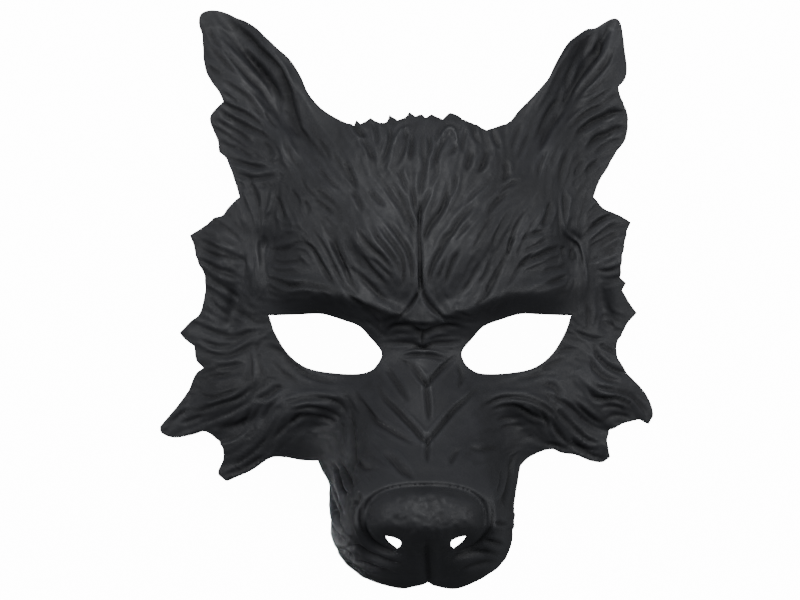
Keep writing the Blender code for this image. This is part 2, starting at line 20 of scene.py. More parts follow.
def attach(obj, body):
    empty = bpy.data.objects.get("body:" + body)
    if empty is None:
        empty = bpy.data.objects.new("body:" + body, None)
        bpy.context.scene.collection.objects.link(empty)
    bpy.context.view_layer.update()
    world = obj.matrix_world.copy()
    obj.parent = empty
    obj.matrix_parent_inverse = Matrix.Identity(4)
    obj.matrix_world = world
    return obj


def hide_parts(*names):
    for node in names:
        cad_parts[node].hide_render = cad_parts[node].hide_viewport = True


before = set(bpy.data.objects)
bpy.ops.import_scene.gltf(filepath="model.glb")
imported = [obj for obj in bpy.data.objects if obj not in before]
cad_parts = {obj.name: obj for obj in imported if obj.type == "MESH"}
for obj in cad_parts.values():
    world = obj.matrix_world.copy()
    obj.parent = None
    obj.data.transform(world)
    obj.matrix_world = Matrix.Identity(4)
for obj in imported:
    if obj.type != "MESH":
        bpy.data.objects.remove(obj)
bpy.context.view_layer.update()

# Sizes of the mask in metres
MASK_WIDTH = 0.222
MASK_HEIGHT = 0.261
MASK_DEPTH = 0.122
WALL = 0.0022
EYE_LENGTH = 0.0504
EYE_HEIGHT = 0.0275
EYE_GAP = 0.0360
EYE_DROP = 0.0198
PAD_WIDTH = 0.0508
PAD_HEIGHT = 0.0292
PAD_DROP = 0.0990
PAD_RISE = 0.0075
NOSTRIL_WIDTH = 0.0080
NOSTRIL_HEIGHT = 0.0060
NOSTRIL_GAP = 0.0220
NOSTRIL_DROP = 0.0972

# Where the point between the brows is in the frame, in metres
BROWS_X = 0.0054
BROWS_Y = -0.0091

OUTER_STEP = 0.00078
NOSTRIL_STEP_SHARE = 0.7
INNER_STEP = 0.0030

# In metres: how far the rim stands out, how much deeper than the wall the inside
# lies, so that no groove cuts through, how low the outside may be, how deep a
# hole's inner edge is, and how near a nostril the inside goes straight down
RIM_BULGE = 0.00030
EXTRA_WALL = 0.0012
LOWEST_OUTSIDE = 0.4 * WALL
HOLE_DEPTH = 1.5 * WALL
NOSTRIL_CLEAR = 0.0060

# Shares of a step: how far apart points along the grooves are at least, how far
# the lattice keeps off them and off the rims, and how high a lattice row is
GROOVE_MESH_GAP = 0.6
OFF_GROOVES = 0.7
OFF_RIMS = 0.62
LATTICE_ROW = 0.866

# The camera: its height and how far to the left of the brows it is, in metres,
# and where the brows are in its shifted picture
VIEW_DISTANCE = 0.600
CAMERA_ASIDE = 0.015
CAMERA_MIDDLE_X = 418.5
CAMERA_MIDDLE_Y = 300.0
PICTURE_WIDTH = 800
SENSOR_WIDTH = 36
PIXEL = MASK_WIDTH / 493

# Points of a smooth curve for each place given: along a groove, for the fur's
# flow and along an outline
GROOVE_SAMPLES = 3
FLOW_SAMPLES = 2
OUTLINE_SAMPLES = 12

# The width is laid out in 4.93 parts and the height in 5.80
ACROSS = MASK_WIDTH / 4.93
UP = MASK_HEIGHT / 5.80

# The main form in hundredths, one row for each level: up, height of the middle,
# then how far out and how high the crown's edge, the flank, the foot of the face
# and the ruff are, and the height of the rim
FORM = [
    (300, 12, 60, 12, 115, 11, 160, 6, 205, 0, 0),
    (240, 18, 60, 18, 110, 16, 150, 14, 205, 7, 2),
    (195, 25, 60, 24, 105, 21, 150, 17, 200, 10, 3),
    (170, 33, 60, 31, 105, 26, 150, 19, 195, 11, 3),
    (140, 41, 60, 38, 110, 32, 152, 22, 190, 12, 3),
    (100, 47, 60, 44, 115, 37, 155, 22, 190, 13, 3),
    (50, 50, 60, 48, 118, 39, 160, 20, 192, 14, 4),
    (10, 51, 60, 48, 118, 38, 162, 20, 195, 13, 4),
    (-20, 48.5, 42, 46.5, 105, 35.5, 160, 21, 195, 12, 3),
    (-60, 52, 34, 47, 88, 34, 155, 22, 198, 12, 1),
    (-100, 60, 42, 55, 84, 37, 145, 25, 198, 12, 0),
    (-140, 71, 54, 65, 86, 38, 125, 27, 196, 11, 0),
    (-170, 82, 62, 75, 90, 38, 115, 26, 190, 10, 0),
    (-200, 91, 68, 83, 92, 42, 110, 26, 190, 10, 0),
    (-226, 93, 68, 84, 91, 51, 110, 26, 190, 10, 0),
    (-238, 91, 67, 82, 90, 54, 110, 26, 190, 10, 0),
    (-250, 86.5, 64, 79, 88, 57, 110, 26, 190, 10, 0),
    (-270, 78, 58, 72, 82, 58, 110, 26, 190, 10, 0),
    (-300, 69, 50, 65, 80, 54, 110, 26, 190, 10, 0),
]

# How far out the rim's height in the last column is reached
RIM_OUT = 2.42

# Broad swellings and hollows: across, up, half length, half width, turn in
# degrees, rise, and 1 where the left side has it too
SWELLINGS = [
    (.40, .48, .52, .27, 58, .050, 1),
    (1.08, .09, .42, .14, 6, .048, 1),
    (.80, .55, .40, .10, 48, -.018, 1),
    (.98, -.43, .66, .32, 6, -.045, 1),
    (.00, -.17, .14, .12, 90, .045, 0),
    (.00, -.27, .36, .07, 0, .016, 0),
    (1.66, 2.47, .25, .14, 60, -.045, 0),
    (.33, -.13, .20, .10, 16, .060, 1),
    (.62, -.03, .22, .09, 14, .030, 1),
    (1.52, .53, .13, .15, 0, -.035, 1),
    (1.64, .35, .36, .09, 88, .030, 1),
    (1.05, -1.02, .40, .14, -12, .042, 1),
    (.92, -1.22, .30, .16, -30, -.030, 1),
    (1.12, -1.62, .40, .20, 0, -.035, 1),
    (1.61, 2.32, .62, .14, 60, -.065, 1),
    (1.30, 2.20, .60, .09, 57, .030, 1),
    (1.32, 1.74, .34, .10, 58, -.042, 1),
    (1.35, 1.62, .20, .16, 60, .035, 1),
    (1.85, 1.75, .30, .10, 80, -.020, 1),
    (.40, -2.70, .34, .14, -12, .035, 1),
    (.74, -2.25, .36, .10, 86, .025, 1),
    (2.00, .45, .30, .10, 80, .030, 1),
    (1.85, -.10, .30, .08, 100, -.030, 1),
    (1.95, -.95, .42, .12, 150, .035, 1),
    (1.75, -1.25, .40, .07, 152, -.025, 1),
]

# The outline in hundredths, going round from the left ear: across, up, and a 1
# at a sharp point
OUTLINE = [
    (-180, 103, 1), (-185, 120), (-192, 140), (-200, 148, 1), (-201.5, 160), (-208.5, 177), (-207, 187),
    (-196, 199, 1), (-200, 208), (-208.5, 220), (-214, 232), (-216, 250), (-216.5, 265), (-219.5, 278),
    (-217, 287), (-206, 290), (-191, 286.5), (-174, 277), (-157, 266), (-142, 252), (-129, 240),
    (-119, 224), (-112, 208), (-101, 194), (-89, 185), (-74, 177), (-67, 176, 1), (-64, 180, 1),
    (-60, 176, 1), (-50, 182, 1), (-41, 177, 1), (-34, 179), (-31, 186, 1), (-23, 180, 1), (-15, 183),
    (-11, 188, 1), (-5, 184, 1), (1, 186), (5, 182, 1), (11, 186, 1), (22, 181, 1), (29, 187), (37, 185),
    (42, 180, 1), (53, 177), (66, 170, 1), (81, 175), (90, 179), (99, 190), (113, 204), (128, 221),
    (141, 238), (153, 255), (166, 264), (179, 273), (194, 281.5), (201, 279), (204, 267), (206, 250),
    (208, 232), (206, 221), (199, 213, 1), (202, 203), (209, 184), (207, 162), (196, 146), (188, 132),
    (179, 117), (174, 103, 1), (184.5, 92), (198, 86), (212, 78, 1), (208, 69), (205, 54), (202, 40),
    (202, 22, 1), (207, 17, 1), (203, 10, 1), (210, -2), (218, -13, 1), (209, -23), (203, -35), (198, -43),
    (198.5, -58, 1), (207, -72), (222, -88), (230, -99), (234.5, -115), (230, -124, 1), (221, -120),
    (206, -123), (190, -130, 1), (188, -143), (191, -157, 1), (184, -162.5), (171, -161), (156, -155),
    (141, -152.5), (129, -149), (110, -157), (100, -166, 1), (96, -190), (93.5, -205), (92.5, -220),
    (89.5, -242), (83, -258), (70, -271), (51.5, -282), (33, -289), (16, -287.5), (3, -283.5, 1),
    (-12, -287.5), (-21, -289), (-33.5, -287), (-50.5, -282), (-66, -274), (-78.5, -263), (-86.5, -250),
    (-90, -240), (-92.5, -220), (-92, -200), (-94.5, -182), (-103, -161, 1), (-118, -160.5), (-135, -157.5),
    (-149, -158), (-169, -170), (-187, -178), (-194, -181, 1), (-201, -173), (-196, -160, 1), (-197, -147),
    (-205, -137), (-216, -131.5), (-229, -135), (-245, -137.5), (-257, -133), (-258.5, -127, 1),
    (-250, -117), (-240, -105), (-231, -92), (-223, -74), (-215.5, -68, 1), (-222, -61), (-225, -46, 1),
    (-234, -39), (-239, -33, 1), (-229, -22), (-219.5, -14), (-215, 0), (-214, 20), (-221, 38), (-225, 53),
    (-229, 65, 1), (-216, 73), (-206, 82, 1), (-197, 85), (-190, 94),
]

# An eye hole: along from the inner corner as a share of EYE_LENGTH, up from its
# middle as a share of EYE_HEIGHT, and a 1 at the sharp point
EYE_HOLE = [
    (1.00, .475, 1), (.74, .490), (.535, .500), (.357, .41),
    (.196, .295), (.094, .10), (.00, -.115), (.013, -.28),
    (.085, -.434), (.21, -.500), (.437, -.484), (.656, -.40),
    (.82, -.18), (.937, .156),
]

# A nostril: along from the inner end as a share of NOSTRIL_WIDTH, up from
# its level as a share of NOSTRIL_HEIGHT, and a 1 at a sharp point
NOSTRIL = [
    (.97, -1.45, 1), (.54, -1.53), (.05, -1.82), (.00, -2.22),
    (.20, -2.48, 1), (.50, -2.20), (.77, -1.88),
]

# Grooves of the moulded fur: half width in hundredths of a part, depth in units
# of DEPTH_UNIT (below nought for a ridge), the place where it starts, right and
# down, and then the steps from there to each next place
FOREHEAD = [
    (2.0, 15, 419,197, 1,18, -1,17, 1,18, 0,20, 0,15, -3,10, -6,10, -13,15),
    (2.5, 15, 420,262, 1,21, 3,12, 7,11, 15,15),
    (2.6, 8, 423,128, 0,22, 2,15, -3,15, -3,17),
    (2.6, 9, 384,185, 8,11, 7,9, 6,11, 3,12),
    (2.6, 10, 391,182, 7,11, 7,14, 6,15, 5,14),
    (2.4, 8, 408,182, 5,13, 3,15, 3,15),
    (2.8, 11, 388,222, 8,10, 6,9, 6,11, 3,13, 1,15),
    (2.8, 11, 380,225, 8,12, 8,10, 6,11, 2,14, -2,16),
    (2.6, 10, 371,225, 7,13, 10,12, 8,12, 5,14),
    (2.8, 11, 356,226, 6,12, 10,12, 10,8, 10,12),
    (2.4, 8, 372,258, 10,10, 8,8, 3,8),
    (2.4, 8, 362,255, 8,13, 8,9, 8,8),
    (3.0, 14, 352,268, 10,10, 8,8, 10,10, 7,5),
    (3.0, 14, 330,228, 6,17, 6,17, 8,18, 8,12),
    (2.6, 9, 340,245, 5,13, 7,12, 6,12),
    (3.0, 14, 345,290, 7,9, 10,7, 13,6, 10,4),
    (2.8, 11, 344,160, 8,18, 4,10),
    (2.6, 9, 352,190, 6,10, 4,12),
    (2.6, 9, 369,190, 9,10, 7,6),
    (2.6, 9, 360,138, 8,10, 6,12),
    (2.6, 10, 432,188, -6,12, -6,12, -1,10),
    (3.0, 13, 448,180, -1,12, -5,16, -10,14, -7,13, -3,10),
    (2.8, 11, 478,200, -10,10, -10,12, -6,10, -7,6, -7,10),
    (2.6, 10, 447,240, -7,10, -6,12, -4,13, -2,10),
    (2.4, 8, 446,258, -4,10, -5,12),
    (2.6, 10, 460,250, -8,12, -4,13, -3,10),
    (2.6, 10, 480,262, -6,13, -6,10, -8,10),
    (2.4, 8, 490,262, -4,13, -8,10),
    (3.2, 15, 507,250, -4,12, -6,12, -7,12, -6,12, -8,8),
    (2.4, 8, 515,235, -5,10, -2,13),
    (3.0, 13, 510,190, -10,8, -8,9, -4,8),
    (3.0, 12, 472,150, -3,10, -2,10),
    (3.0, 12, 487,150, -3,12, -6,10),
    (2.6, 9, 505,160, 2,12, -4,8),
    (2.6, 10, 456,130, 2,10, -3,8, -7,8),
    (2.2, 7, 404,126, 2,14, -4,12, -6,14),
    (2.2, 7, 440,130, 2,12, -4,10, -4,16),
    (2.2, 7, 388,124, 2,14, -4,14, -6,12),
    (2.2, 7, 372,122, 4,10, 1,12),
    (2.4, 8, 492,128, 2,10, 6,10),
    (2.4, 8, 474,122, 0,12, 6,10),
    (2.4, -12, 394,144, 7,-12, 10,-6),
    (2.6, -14, 437,147, 5,-11, 8,-7, 7,9, -1,13),
    (3.0, 14, 353,122, 4,8, 8,6),
    (2.4, 9, 428,135, 2,11, -3,12),
    (2.4, 9, 412,134, 0,12, -2,14),
    (2.4, 8, 466,128, -3,12, -1,12),
    (2.2, 7, 398,170, 6,12, 4,12),
    (2.2, 7, 438,160, -2,14, -6,14),
    (2.2, 8, 456,172, -1,12, -5,14),
    (2.2, 8, 494,176, -10,10, -10,8, -10,12),
    (2.2, 8, 520,180, -12,6, -10,8),
    (2.2, 8, 470,222, -10,10, -8,10),
    (2.2, 8, 496,214, -10,12, -8,14, -6,12),
    (2.2, 8, 512,208, -8,12, -7,14, -5,14),
    (2.0, 9, 530,206, -10,14, -8,18, -5,18),
    (2.0, 8, 540,212, -9,14, -8,16, -7,18),
    (2.0, 9, 534,250, -10,12, -10,14, -8,12),
    (2.0, 8, 330,262, 8,14, 8,11, 10,9),
    (2.0, 8, 300,176, 6,12, 10,10),
    (2.0, 8, 318,168, 10,12, 12,10),
    (2.0, 8, 332,152, 10,16, 8,14),
]

LEFT_EAR = [
    (3.4, 15, 230,22, 20,18, 9,10, 18,17, 6,11, 4,12, 2,10, 3,12, 10,23, 11,17),
    (4.0, 15, 242,48, 16,20, 14,18, 12,19),
    (3.6, 12, 286,110, 6,15, 8,13),
    (2.6, 8, 208,46, 10,10, 10,10, 8,8),
    (2.4, 7, 208,28, 6,12, 8,8),
    (3.0, 11, 222,45, 10,13, 11,12, 9,10, 10,10, 8,12),
    (2.2, 6, 207,66, 7,5, 8,3),
    (2.8, 10, 222,80, 18,12, 10,8, 8,10, 8,10, 8,10),
    (2.4, 7, 222,92, 8,5, 8,7),
    (2.6, 9, 222,102, 10,6, 12,5, 12,8, 9,7),
    (2.8, 10, 217,108, 11,9, 12,7, 12,6, 10,4, 12,8),
    (2.6, 9, 214,118, 11,8, 12,7, 10,8, 8,5),
    (2.4, 8, 214,127, 10,6, 12,8, 14,9),
    (2.6, 9, 218,140, 10,6, 10,3, 8,6, 8,5),
    (2.6, 10, 228,158, 12,5, 15,4, 15,1),
    (2.4, 8, 266,112, 6,10, 6,6),
    (2.2, -4, 274,148, 3,8, -5,6),
    (2.4, 8, 236,174, 14,4, 12,0, 14,-2),
    (2.2, 6, 284,140, 4,10, 4,10, 8,8),
    (2.4, 7, 300,128, 8,12, 10,10, 8,10),
    (2.4, 7, 316,138, 8,10, 6,12),
    (2.4, 7, 262,140, 6,8, 2,8),
]

RIGHT_EAR = [
    (3.4, 15, 600,30, -1,8, -2,10, -4,9, -7,8, -6,9, -6,10, -6,11, -6,13),
    (3.4, 14, 560,98, -7,10, -6,10, -6,12, -6,10),
    (3.0, 11, 563,108, -7,10, -7,10, -6,12, -5,10),
    (2.6, 9, 572,66, -4,12, -3,12),
    (2.6, 9, 608,25, -4,11, -4,8, -6,10),
    (3.0, 13, 611,52, -5,10, -7,8, -9,10, -8,8, -7,9),
    (2.6, 9, 605,78, -7,8, -8,6, -10,4),
    (2.6, 9, 604,106, -10,3, -9,5, -7,6, -8,7),
    (3.2, 17, 625,112, -11,0, -11,6, -11,5, -10,7, -7,8),
    (3.0, 14, 626,128, -11,1, -9,5, -9,4, -7,7, -4,5),
    (2.6, 9, 622,140, -10,2, -9,5, -9,8),
    (2.6, 9, 584,160, -6,10, -4,6),
    (3.0, 13, 550,203, -1,9, -3,8, -3,6),
    (2.4, 8, 612,88, -10,8, -10,6, -8,4),
    (2.4, 8, 600,160, -8,6, -6,8),
    (2.4, 8, 530,132, -6,14, -6,12),
    (2.4, 8, 522,122, -6,14, -4,12),
    (2.4, 8, 546,150, -5,12, -3,14),
    (2.4, 8, 562,140, -6,12, -4,14),
    (2.4, 8, 570,146, -4,14, -4,14, -2,14),
]

LEFT_TEMPLE = [
    (2.6, 7, 210,222, 15,6, 10,8, 8,7),
    (2.8, 9, 198,240, 14,6, 13,6, 15,6, 7,6),
    (2.6, 7, 200,250, 15,6, 15,2, 14,4),
    (2.6, 7, 197,258, 11,6, 12,5, 12,4, 10,7),
    (2.4, 6, 208,268, 14,6, 16,6),
    (2.8, 9, 208,280, 12,6, 12,7, 8,7),
    (2.6, 7, 210,298, 6,8, 8,6, 8,6),
    (2.8, 9, 200,328, 10,3, 12,4, 13,2, 12,-4, 11,-3),
    (2.6, 7, 200,340, 15,6, 13,0, 12,-5, 12,-6),
    (2.6, 7, 205,352, 13,4, 12,0, 12,-6, 13,-6),
    (2.6, -4, 257,236, -1,7, -2,7, 2,8, 2,8, -1,6, -1,12),
    (2.4, -5, 248,255, 1,10, -2,15),
    (2.6, -8, 243,190, 4,8, 3,7, 4,10, 3,15),
    (2.6, -8, 273,185, -1,10, -1,10, -5,13),
    (3.2, 10, 248,178, 7,17, 4,13),
    (3.0, 10, 276,196, 4,14, 4,10),
    (2.6, 4, 264,236, 1,14),
    (2.4, 6, 290,190, 6,7, 4,9),
    (2.6, 7, 303,200, 4,7, 2,7),
    (3.0, 10, 313,198, 9,8, 10,8),
    (2.6, 7, 316,190, 10,8, 10,8),
    (2.2, 6, 272,250, 13,-1, 13,-6, 12,4, 6,8, 4,10, 6,10, 7,8),
    (2.2, 9, 300,236, 12,14, 10,16, 12,18),
    (2.2, 9, 312,228, 10,16, 10,18, 11,19),
    (2.2, 8, 322,222, 9,18, 9,18, 10,18),
    (3.0, 11, 265,277, 15,5, 10,4, 15,-3, 15,4, 13,5),
    (2.4, 6, 270,262, 14,2, 14,-2, 10,6),
]

RIGHT_TEMPLE = [
    (1.8, -8, 560,200, 2,15, 2,15, 7,7, 8,6, 4,11, 2,14, 2,14, -2,16),
    (2.4, -5, 572,192, -3,13, -2,15, -1,12),
    (2.6, 10, 564,192, 2,16, -1,14),
    (2.0, -4, 574,244, 3,11, 1,13, -2,12),
    (3.4, 12, 563,246, 1,11),
    (3.0, 10, 572,248, 1,12),
    (3.2, 15, 520,266, 10,-6, 10,-4, 10,-5, 10,-3),
    (2.6, 9, 540,274, 10,-4, 10,-2, 10,-3),
    (2.6, 9, 545,284, 11,-3, 10,-4),
    (2.8, 11, 617,214, -11,4, -10,7, -8,8, -6,7),
    (2.4, 8, 610,216, -10,5, -8,7),
    (2.6, 9, 625,224, -11,2, -9,6, -9,6, -6,4),
    (2.6, 9, 620,232, -9,6, -7,6, -6,4),
    (2.6, 9, 622,240, -9,5, -8,5, -8,5),
    (2.4, 8, 620,249, -8,3, -10,6),
    (2.4, 8, 598,271, 12,0, 9,-4),
    (2.0, 7, 592,246, 10,-6, 10,-6, 10,-6),
    (2.0, 7, 590,262, 10,-5, 10,-7, 8,-5),
    (2.2, 7, 575,332, 10,4, 10,3, 11,-1),
    (2.6, 9, 600,344, 8,5, 7,4),
    (2.4, 8, 603,322, 12,4),
    (2.4, 8, 520,240, 12,-6, 12,-2),
    (2.4, 8, 524,252, 12,-6, 12,-6),
    (2.2, 5, 588,306, 2,12, -2,10),
]

LEFT_RUFF = [
    (2.6, 7, 215,368, 15,-2, 13,-3),
    (2.6, 7, 208,378, 12,-2, 12,-2),
    (2.6, 8, 200,395, 10,3, 8,-2, 10,-3, 10,-4),
    (2.6, 8, 196,412, 10,-3, 10,-4, 10,-3, 10,-3, 10,-6, 4,-5),
    (2.4, 6, 168,426, 8,-7, 7,-6, 8,-5),
    (2.3, 5, 200,423, 10,-2, 10,-4, 10,-4, 10,-6, 10,-5),
    (2.6, 7, 218,430, 10,-3, 10,-3, 8,-6),
    (3.2, 11, 256,400, 9,-3, 7,-4, 6,-5, 8,-2),
    (2.6, 7, 242,425, 5,-7, 5,-10),
    (2.6, 7, 262,425, 4,-10, 4,-7, 5,-6),
    (2.4, 6, 272,442, 6,-8, 6,-6, 6,-5, 10,-3),
    (2.6, 7, 290,425, 6,-7, 6,-5),
    (2.3, 5, 230,470, 10,-8, 10,-7, 8,-7, 10,-12),
    (2.6, 7, 225,475, 15,-5, 12,-7, 12,-8),
    (2.6, 7, 244,440, 8,-8, 4,-8),
    (3.0, 11, 284,404, 14,-4, 14,-2, 14,1, 12,5, 8,7),
    (2.4, 9, 290,412, 14,-4, 14,0, 14,4, 10,7),
    (2.4, 7, 292,421, 14,-5, 14,0, 16,7),
    (2.6, -8, 253,348, 2,17, 0,20),
    (3.0, 8, 262,347, 18,5, 10,10, 15,12, 15,6, 20,4),
    (2.4, 6, 262,356, 12,8, 10,10, 16,10),
    (2.4, 6, 236,312, 10,6, 8,4),
    (2.4, 6, 180,424, 12,-4, 10,-4),
    (2.4, 6, 212,442, 12,-2, 12,-4, 10,-6),
]

RIGHT_RUFF = [
    (2.8, 12, 594,347, 4,9, 8,9, 10,6, 11,4),
    (2.8, 11, 591,358, 6,13, 10,7, 11,4),
    (2.5, 11, 592,380, 6,7, 12,3, 13,3, 11,5, 9,10, 4,10),
    (3.0, 13, 588,388, 6,9, 11,3, 13,-1, 10,4, 8,8),
    (2.4, 7, 600,408, 14,-2, 12,5),
    (2.4, 7, 606,418, 12,-3, 12,3),
    (2.4, 7, 598,350, 8,4, 8,7),
    (2.5, 11, 540,392, 12,5, 14,7, 10,8, 8,8, 8,6, 11,5),
    (2.4, 10, 555,408, 9,9, 9,9, 7,8, 10,7, 10,2),
    (2.6, 10, 574,402, 10,10, 10,8, 10,4),
    (2.5, 11, 550,418, 7,13, 9,11, 10,5, 14,7, 13,5),
    (2.6, 11, 570,438, 12,10, 16,3),
    (3.4, 12, 543,384, 9,2, 6,6, 4,8),
    (2.4, 7, 546,395, 6,7, 8,6),
    (2.4, 9, 484,407, 14,-7, 17,-3, 15,2, 12,6, 10,8, 8,11),
    (2.2, 8, 492,410, 12,-3, 14,1, 12,7, 10,4, 10,5),
    (2.4, 7, 496,420, 12,-1, 12,0),
    (2.4, 7, 500,428, 12,-2, 12,1),
    (2.6, 8, 540,370, 12,-6, 12,-4),
    (2.4, 7, 556,352, 10,-2, 10,-1),
    (2.6, 8, 516,378, 16,-2, 14,-4),
    (2.6, 8, 546,444, 12,2, 14,4),
    (2.4, 7, 540,412, 6,8, 3,10),
]

BRIDGE = [
    (2.6, 16, 388,330, 8,-4, 14,1, 13,6, 11,-4, 14,-3, 14,1),
    (2.6, 14, 386,343, 14,0, 14,1, 9,4, 9,-4, 16,-1, 12,-1),
    (2.2, 9, 422,333, 0,7, 1,7),
    (2.6, 8, 398,350, 14,-2, 18,0, 22,2),
    (2.4, 9, 403,357, 12,-2, 17,1, 16,4),
    (2.6, 16, 400,360, 10,6, 8,8, 8,9, 8,-7, 10,-10, 11,-9),
    (2.4, 12, 425,376, 1,8, 1,10, 1,10, 1,16),
    (2.7, 18, 376,384, 8,14, 9,9, 11,11, 10,10, 12,12, 10,-9, 10,-12, 11,-12, 13,-11, 11,-11),
    (2.4, 10, 426,432, 2,9, -1,9, 0,12),
    (2.6, 12, 362,402, 8,11, 8,9, 12,8, 12,7, 10,6),
    (3.0, 11, 385,366, 7,10, 8,12, 7,12),
    (2.6, 9, 458,364, 4,12, -4,12),
    (2.4, 8, 380,330, -2,-8, -8,-8, -8,-5),
    (2.4, 8, 384,337, -8,-9, -10,-9),
    (2.4, 9, 400,320, 12,4, 16,2, 14,-5),
    (2.2, -4, 397,336, 13,0, 9,2),
    (2.2, -4, 426,338, 10,-4, 16,0),
    (2.4, -7, 405,352, 15,-1, 20,1),
    (2.2, -6, 404,361, 10,9, 8,9),
]

MUZZLE = [
    (2.6, 19, 332,462, 6,10, 5,12, 4,10),
    (2.6, 20, 328,474, 5,14, 5,12, 4,12),
    (2.4, 14, 340,462, 5,10, 5,10, 2,8),
    (2.4, 18, 330,494, 4,12, 5,12, 2,12),
    (2.2, -15, 334,470, 6,14, 4,16, 2,14),
    (2.2, -13, 341,468, 6,14, 4,14),
    (2.2, -12, 331,500, 4,18, 5,16),
    (2.2, -11, 327,468, 4,14, 4,12),
    (2.4, -11, 344,512, 2,14, 6,12),
    (2.4, 10, 334,528, 4,8, 8,6),
    (2.4, 10, 336,548, 10,4, 8,8),
    (2.4, 10, 346,562, 10,8, 12,5),
    (3.4, 13, 388,452, 8,8, 8,10, 8,8),
    (2.6, 9, 384,452, 10,12, 10,12),
    (3.0, 11, 354,460, 8,6, 10,3),
    (3.0, 10, 460,448, -6,7, -4,9),
    (2.6, 8, 470,448, 14,1, 16,0),
    (3.0, 9, 350,412, 2,18, 2,18, 0,14, -2,14),
    (3.2, 12, 357,492, 1,8, -6,8),
    (2.2, 8, 324,470, 4,16, 4,14, 4,14),
    (2.2, 7, 330,510, 2,14, 4,12),
    (2.4, 12, 512,462, -4,18, -4,16, -4,12),
    (2.4, 10, 502,470, -3,14, -3,14),
    (2.2, 9, 508,484, -2,12, -1,12),
    (2.2, -9, 509,470, -3,16, -3,14),
    (2.2, -8, 499,474, -2,16, 1,12),
    (2.4, 10, 495,523, 6,1, 7,1),
    (2.4, 12, 363,500, -2,14, 3,15, 8,12, 12,8, 14,5),
    (2.4, -6, 357,508, -1,14, 3,14, 9,13, 16,8),
    (2.4, 10, 490,502, 3,12, -3,14, -8,12, -12,8, -14,4),
    (2.8, 12, 484,541, 10,2, 10,2),
    (3.0, 10, 344,548, 10,-2, 10,4, 12,6, 14,6, 14,2),
    (2.8, 8, 352,560, 14,4, 16,6, 14,4),
    (3.0, 9, 448,562, 10,-6, 14,-4, 14,1, 12,2),
    (2.8, 7, 458,572, 12,-5, 14,-4, 12,-1),
    (4.5, 9, 427,540, 0,16, 1,14, 1,18),
]

GROOVES = [
    (row[0], row[1], np.cumsum(np.reshape(row[2:], (-1, 2)), axis=0))
    for row in FOREHEAD + LEFT_EAR + RIGHT_EAR + LEFT_TEMPLE + RIGHT_TEMPLE + LEFT_RUFF
    + RIGHT_RUFF + BRIDGE + MUZZLE
]

# Units in metres of a groove's depth and of the carving that the looks read
DEPTH_UNIT = 0.00012
CARVING_UNIT = 0.001

# Across a groove: the rise, the place and the half width of its sharp cut, of its
# wide cut and of the bank beside it, in shares of its depth and half width, how
# far out it reaches, and where lines of mesh points run along it
PROFILE = [(-0.72, 0, 0.55), (-0.28, 0, 1.2), (0.24, 1.9, 0.8)]
PROFILE_REACH = 4.0
GROOVE_LINES = (0, -0.75, 0.75)

# The share of a groove's length over which each end runs out, and how deep and
# how wide it is at its very end
TAPER = 0.34
END_DEPTH = 0.08
END_WIDTH = 0.6

# The nose pad in half sizes: how square it is, where its edge falls, how softly,
# how much lower it is there, and how far down its edge is sharp
PAD_SQUARENESS = 2.6
PAD_EDGE = 0.94
PAD_SOFTNESS = 0.06
PAD_CROWN = 0.35
PAD_SHARP_DOWN_TO = -0.2

# The groove round the pad: rise, place and half width, and where it begins
PAD_GROOVE = (-0.34, 1.06, 0.06)
PAD_GROOVE_FROM = -0.8

# Rings of mesh points along its edge and the groove
PAD_RINGS = (PAD_EDGE, 1.0, 1.06, 1.13)

# The dip round a nostril: rise, then place and half size across and up
NOSTRIL_DIP = (-0.75, 0.68, 0.29, -0.68, 0.34)

# Smooth patches as the camera sees them: middle right, middle down, half width and
# half height; where the fur begins, in half sizes, and how much is left inside
SMOOTH = [
    (427, 520, 68, 34), (422, 310, 20, 16), (426, 410, 44, 60),
    (423, 350, 42, 30), (400, 530, 50, 60), (455, 530, 50, 60),
]
SMOOTH_EDGE = 0.9
SMOOTH_REST = 0.12

# The fur's grain, from fine to coarse: half width and half length of a hair, in
# hundredths of a part, and the depth of the grain in metres
GRAIN = [(1.7, 16, 0.00013), (3.0, 22, 0.00015), (5.0, 30, 0.00010)]

# Rows and columns of the grain's grid, how many of them apart the flow of the fur
# is worked out, how far a groove turns it, how many make full fur, and how far a
# random pattern is blurred
GRAIN_SHAPE = (600, 720)
FLOW_CELL = 6
FLOW_REACH = 13
FULL_COVER = 1.2
BLUR_REACH = 7

# The leathery bumps on the nose: middle right, middle down, half width, half
# height and depth in metres, then the softness and the seed of their pattern
STIPPLE = (425, 512, 66, 30, 0.00015)
STIPPLE_SOFTNESS = 2.0
STIPPLE_SEED = 9

# The black plastic from its grooves to its ridges: tone, as painted shade in the grooves and a
# painted sheen on the ridges, roughness, and the green and blue shares of its faint cold tint
GROOVE_SHADE_RIDGE_SHEEN_TONE = (0.018, 0.033)
ROUGHNESS = (0.66, 0.52)
TINT = {"Green": 1.04, "Blue": 1.18}

# The inside: tone and roughness, and the range that a noise mostly keeps to
BACK_TONE = (0.009, 0.018)
BACK_ROUGHNESS = (0.62, 0.80)
NOISE_RANGE = (0.3, 0.7)

# Soft lights: name, place in metres, side in metres, power in watts, where it
# points and how wide its beam is in degrees
MIDDLE = (0, 0, 0.05)
LIGHTS = [
    ("key", (-0.03, 0.85, 0.85), 0.60, 7.3, MIDDLE, 180),
    ("above", (0.05, 0.35, 1.60), 1.20, 5.2, MIDDLE, 180),
    ("left", (-0.95, 0.15, 0.45), 0.50, 2.6, MIDDLE, 180),
    ("right", (0.95, 0.10, 0.45), 0.50, 3.2, MIDDLE, 180),
    ("snout", (-0.28, -0.095, 0.045), 0.04, 0.010, (-0.037, -0.103, 0.062), 14),
]
SKY_LIGHT = 0.12

# The floor: glow, half side and depth below the mask in metres
FLOOR_GLOW = 14.0
FLOOR_HALF = 12.0
FLOOR_DROP = 0.0004

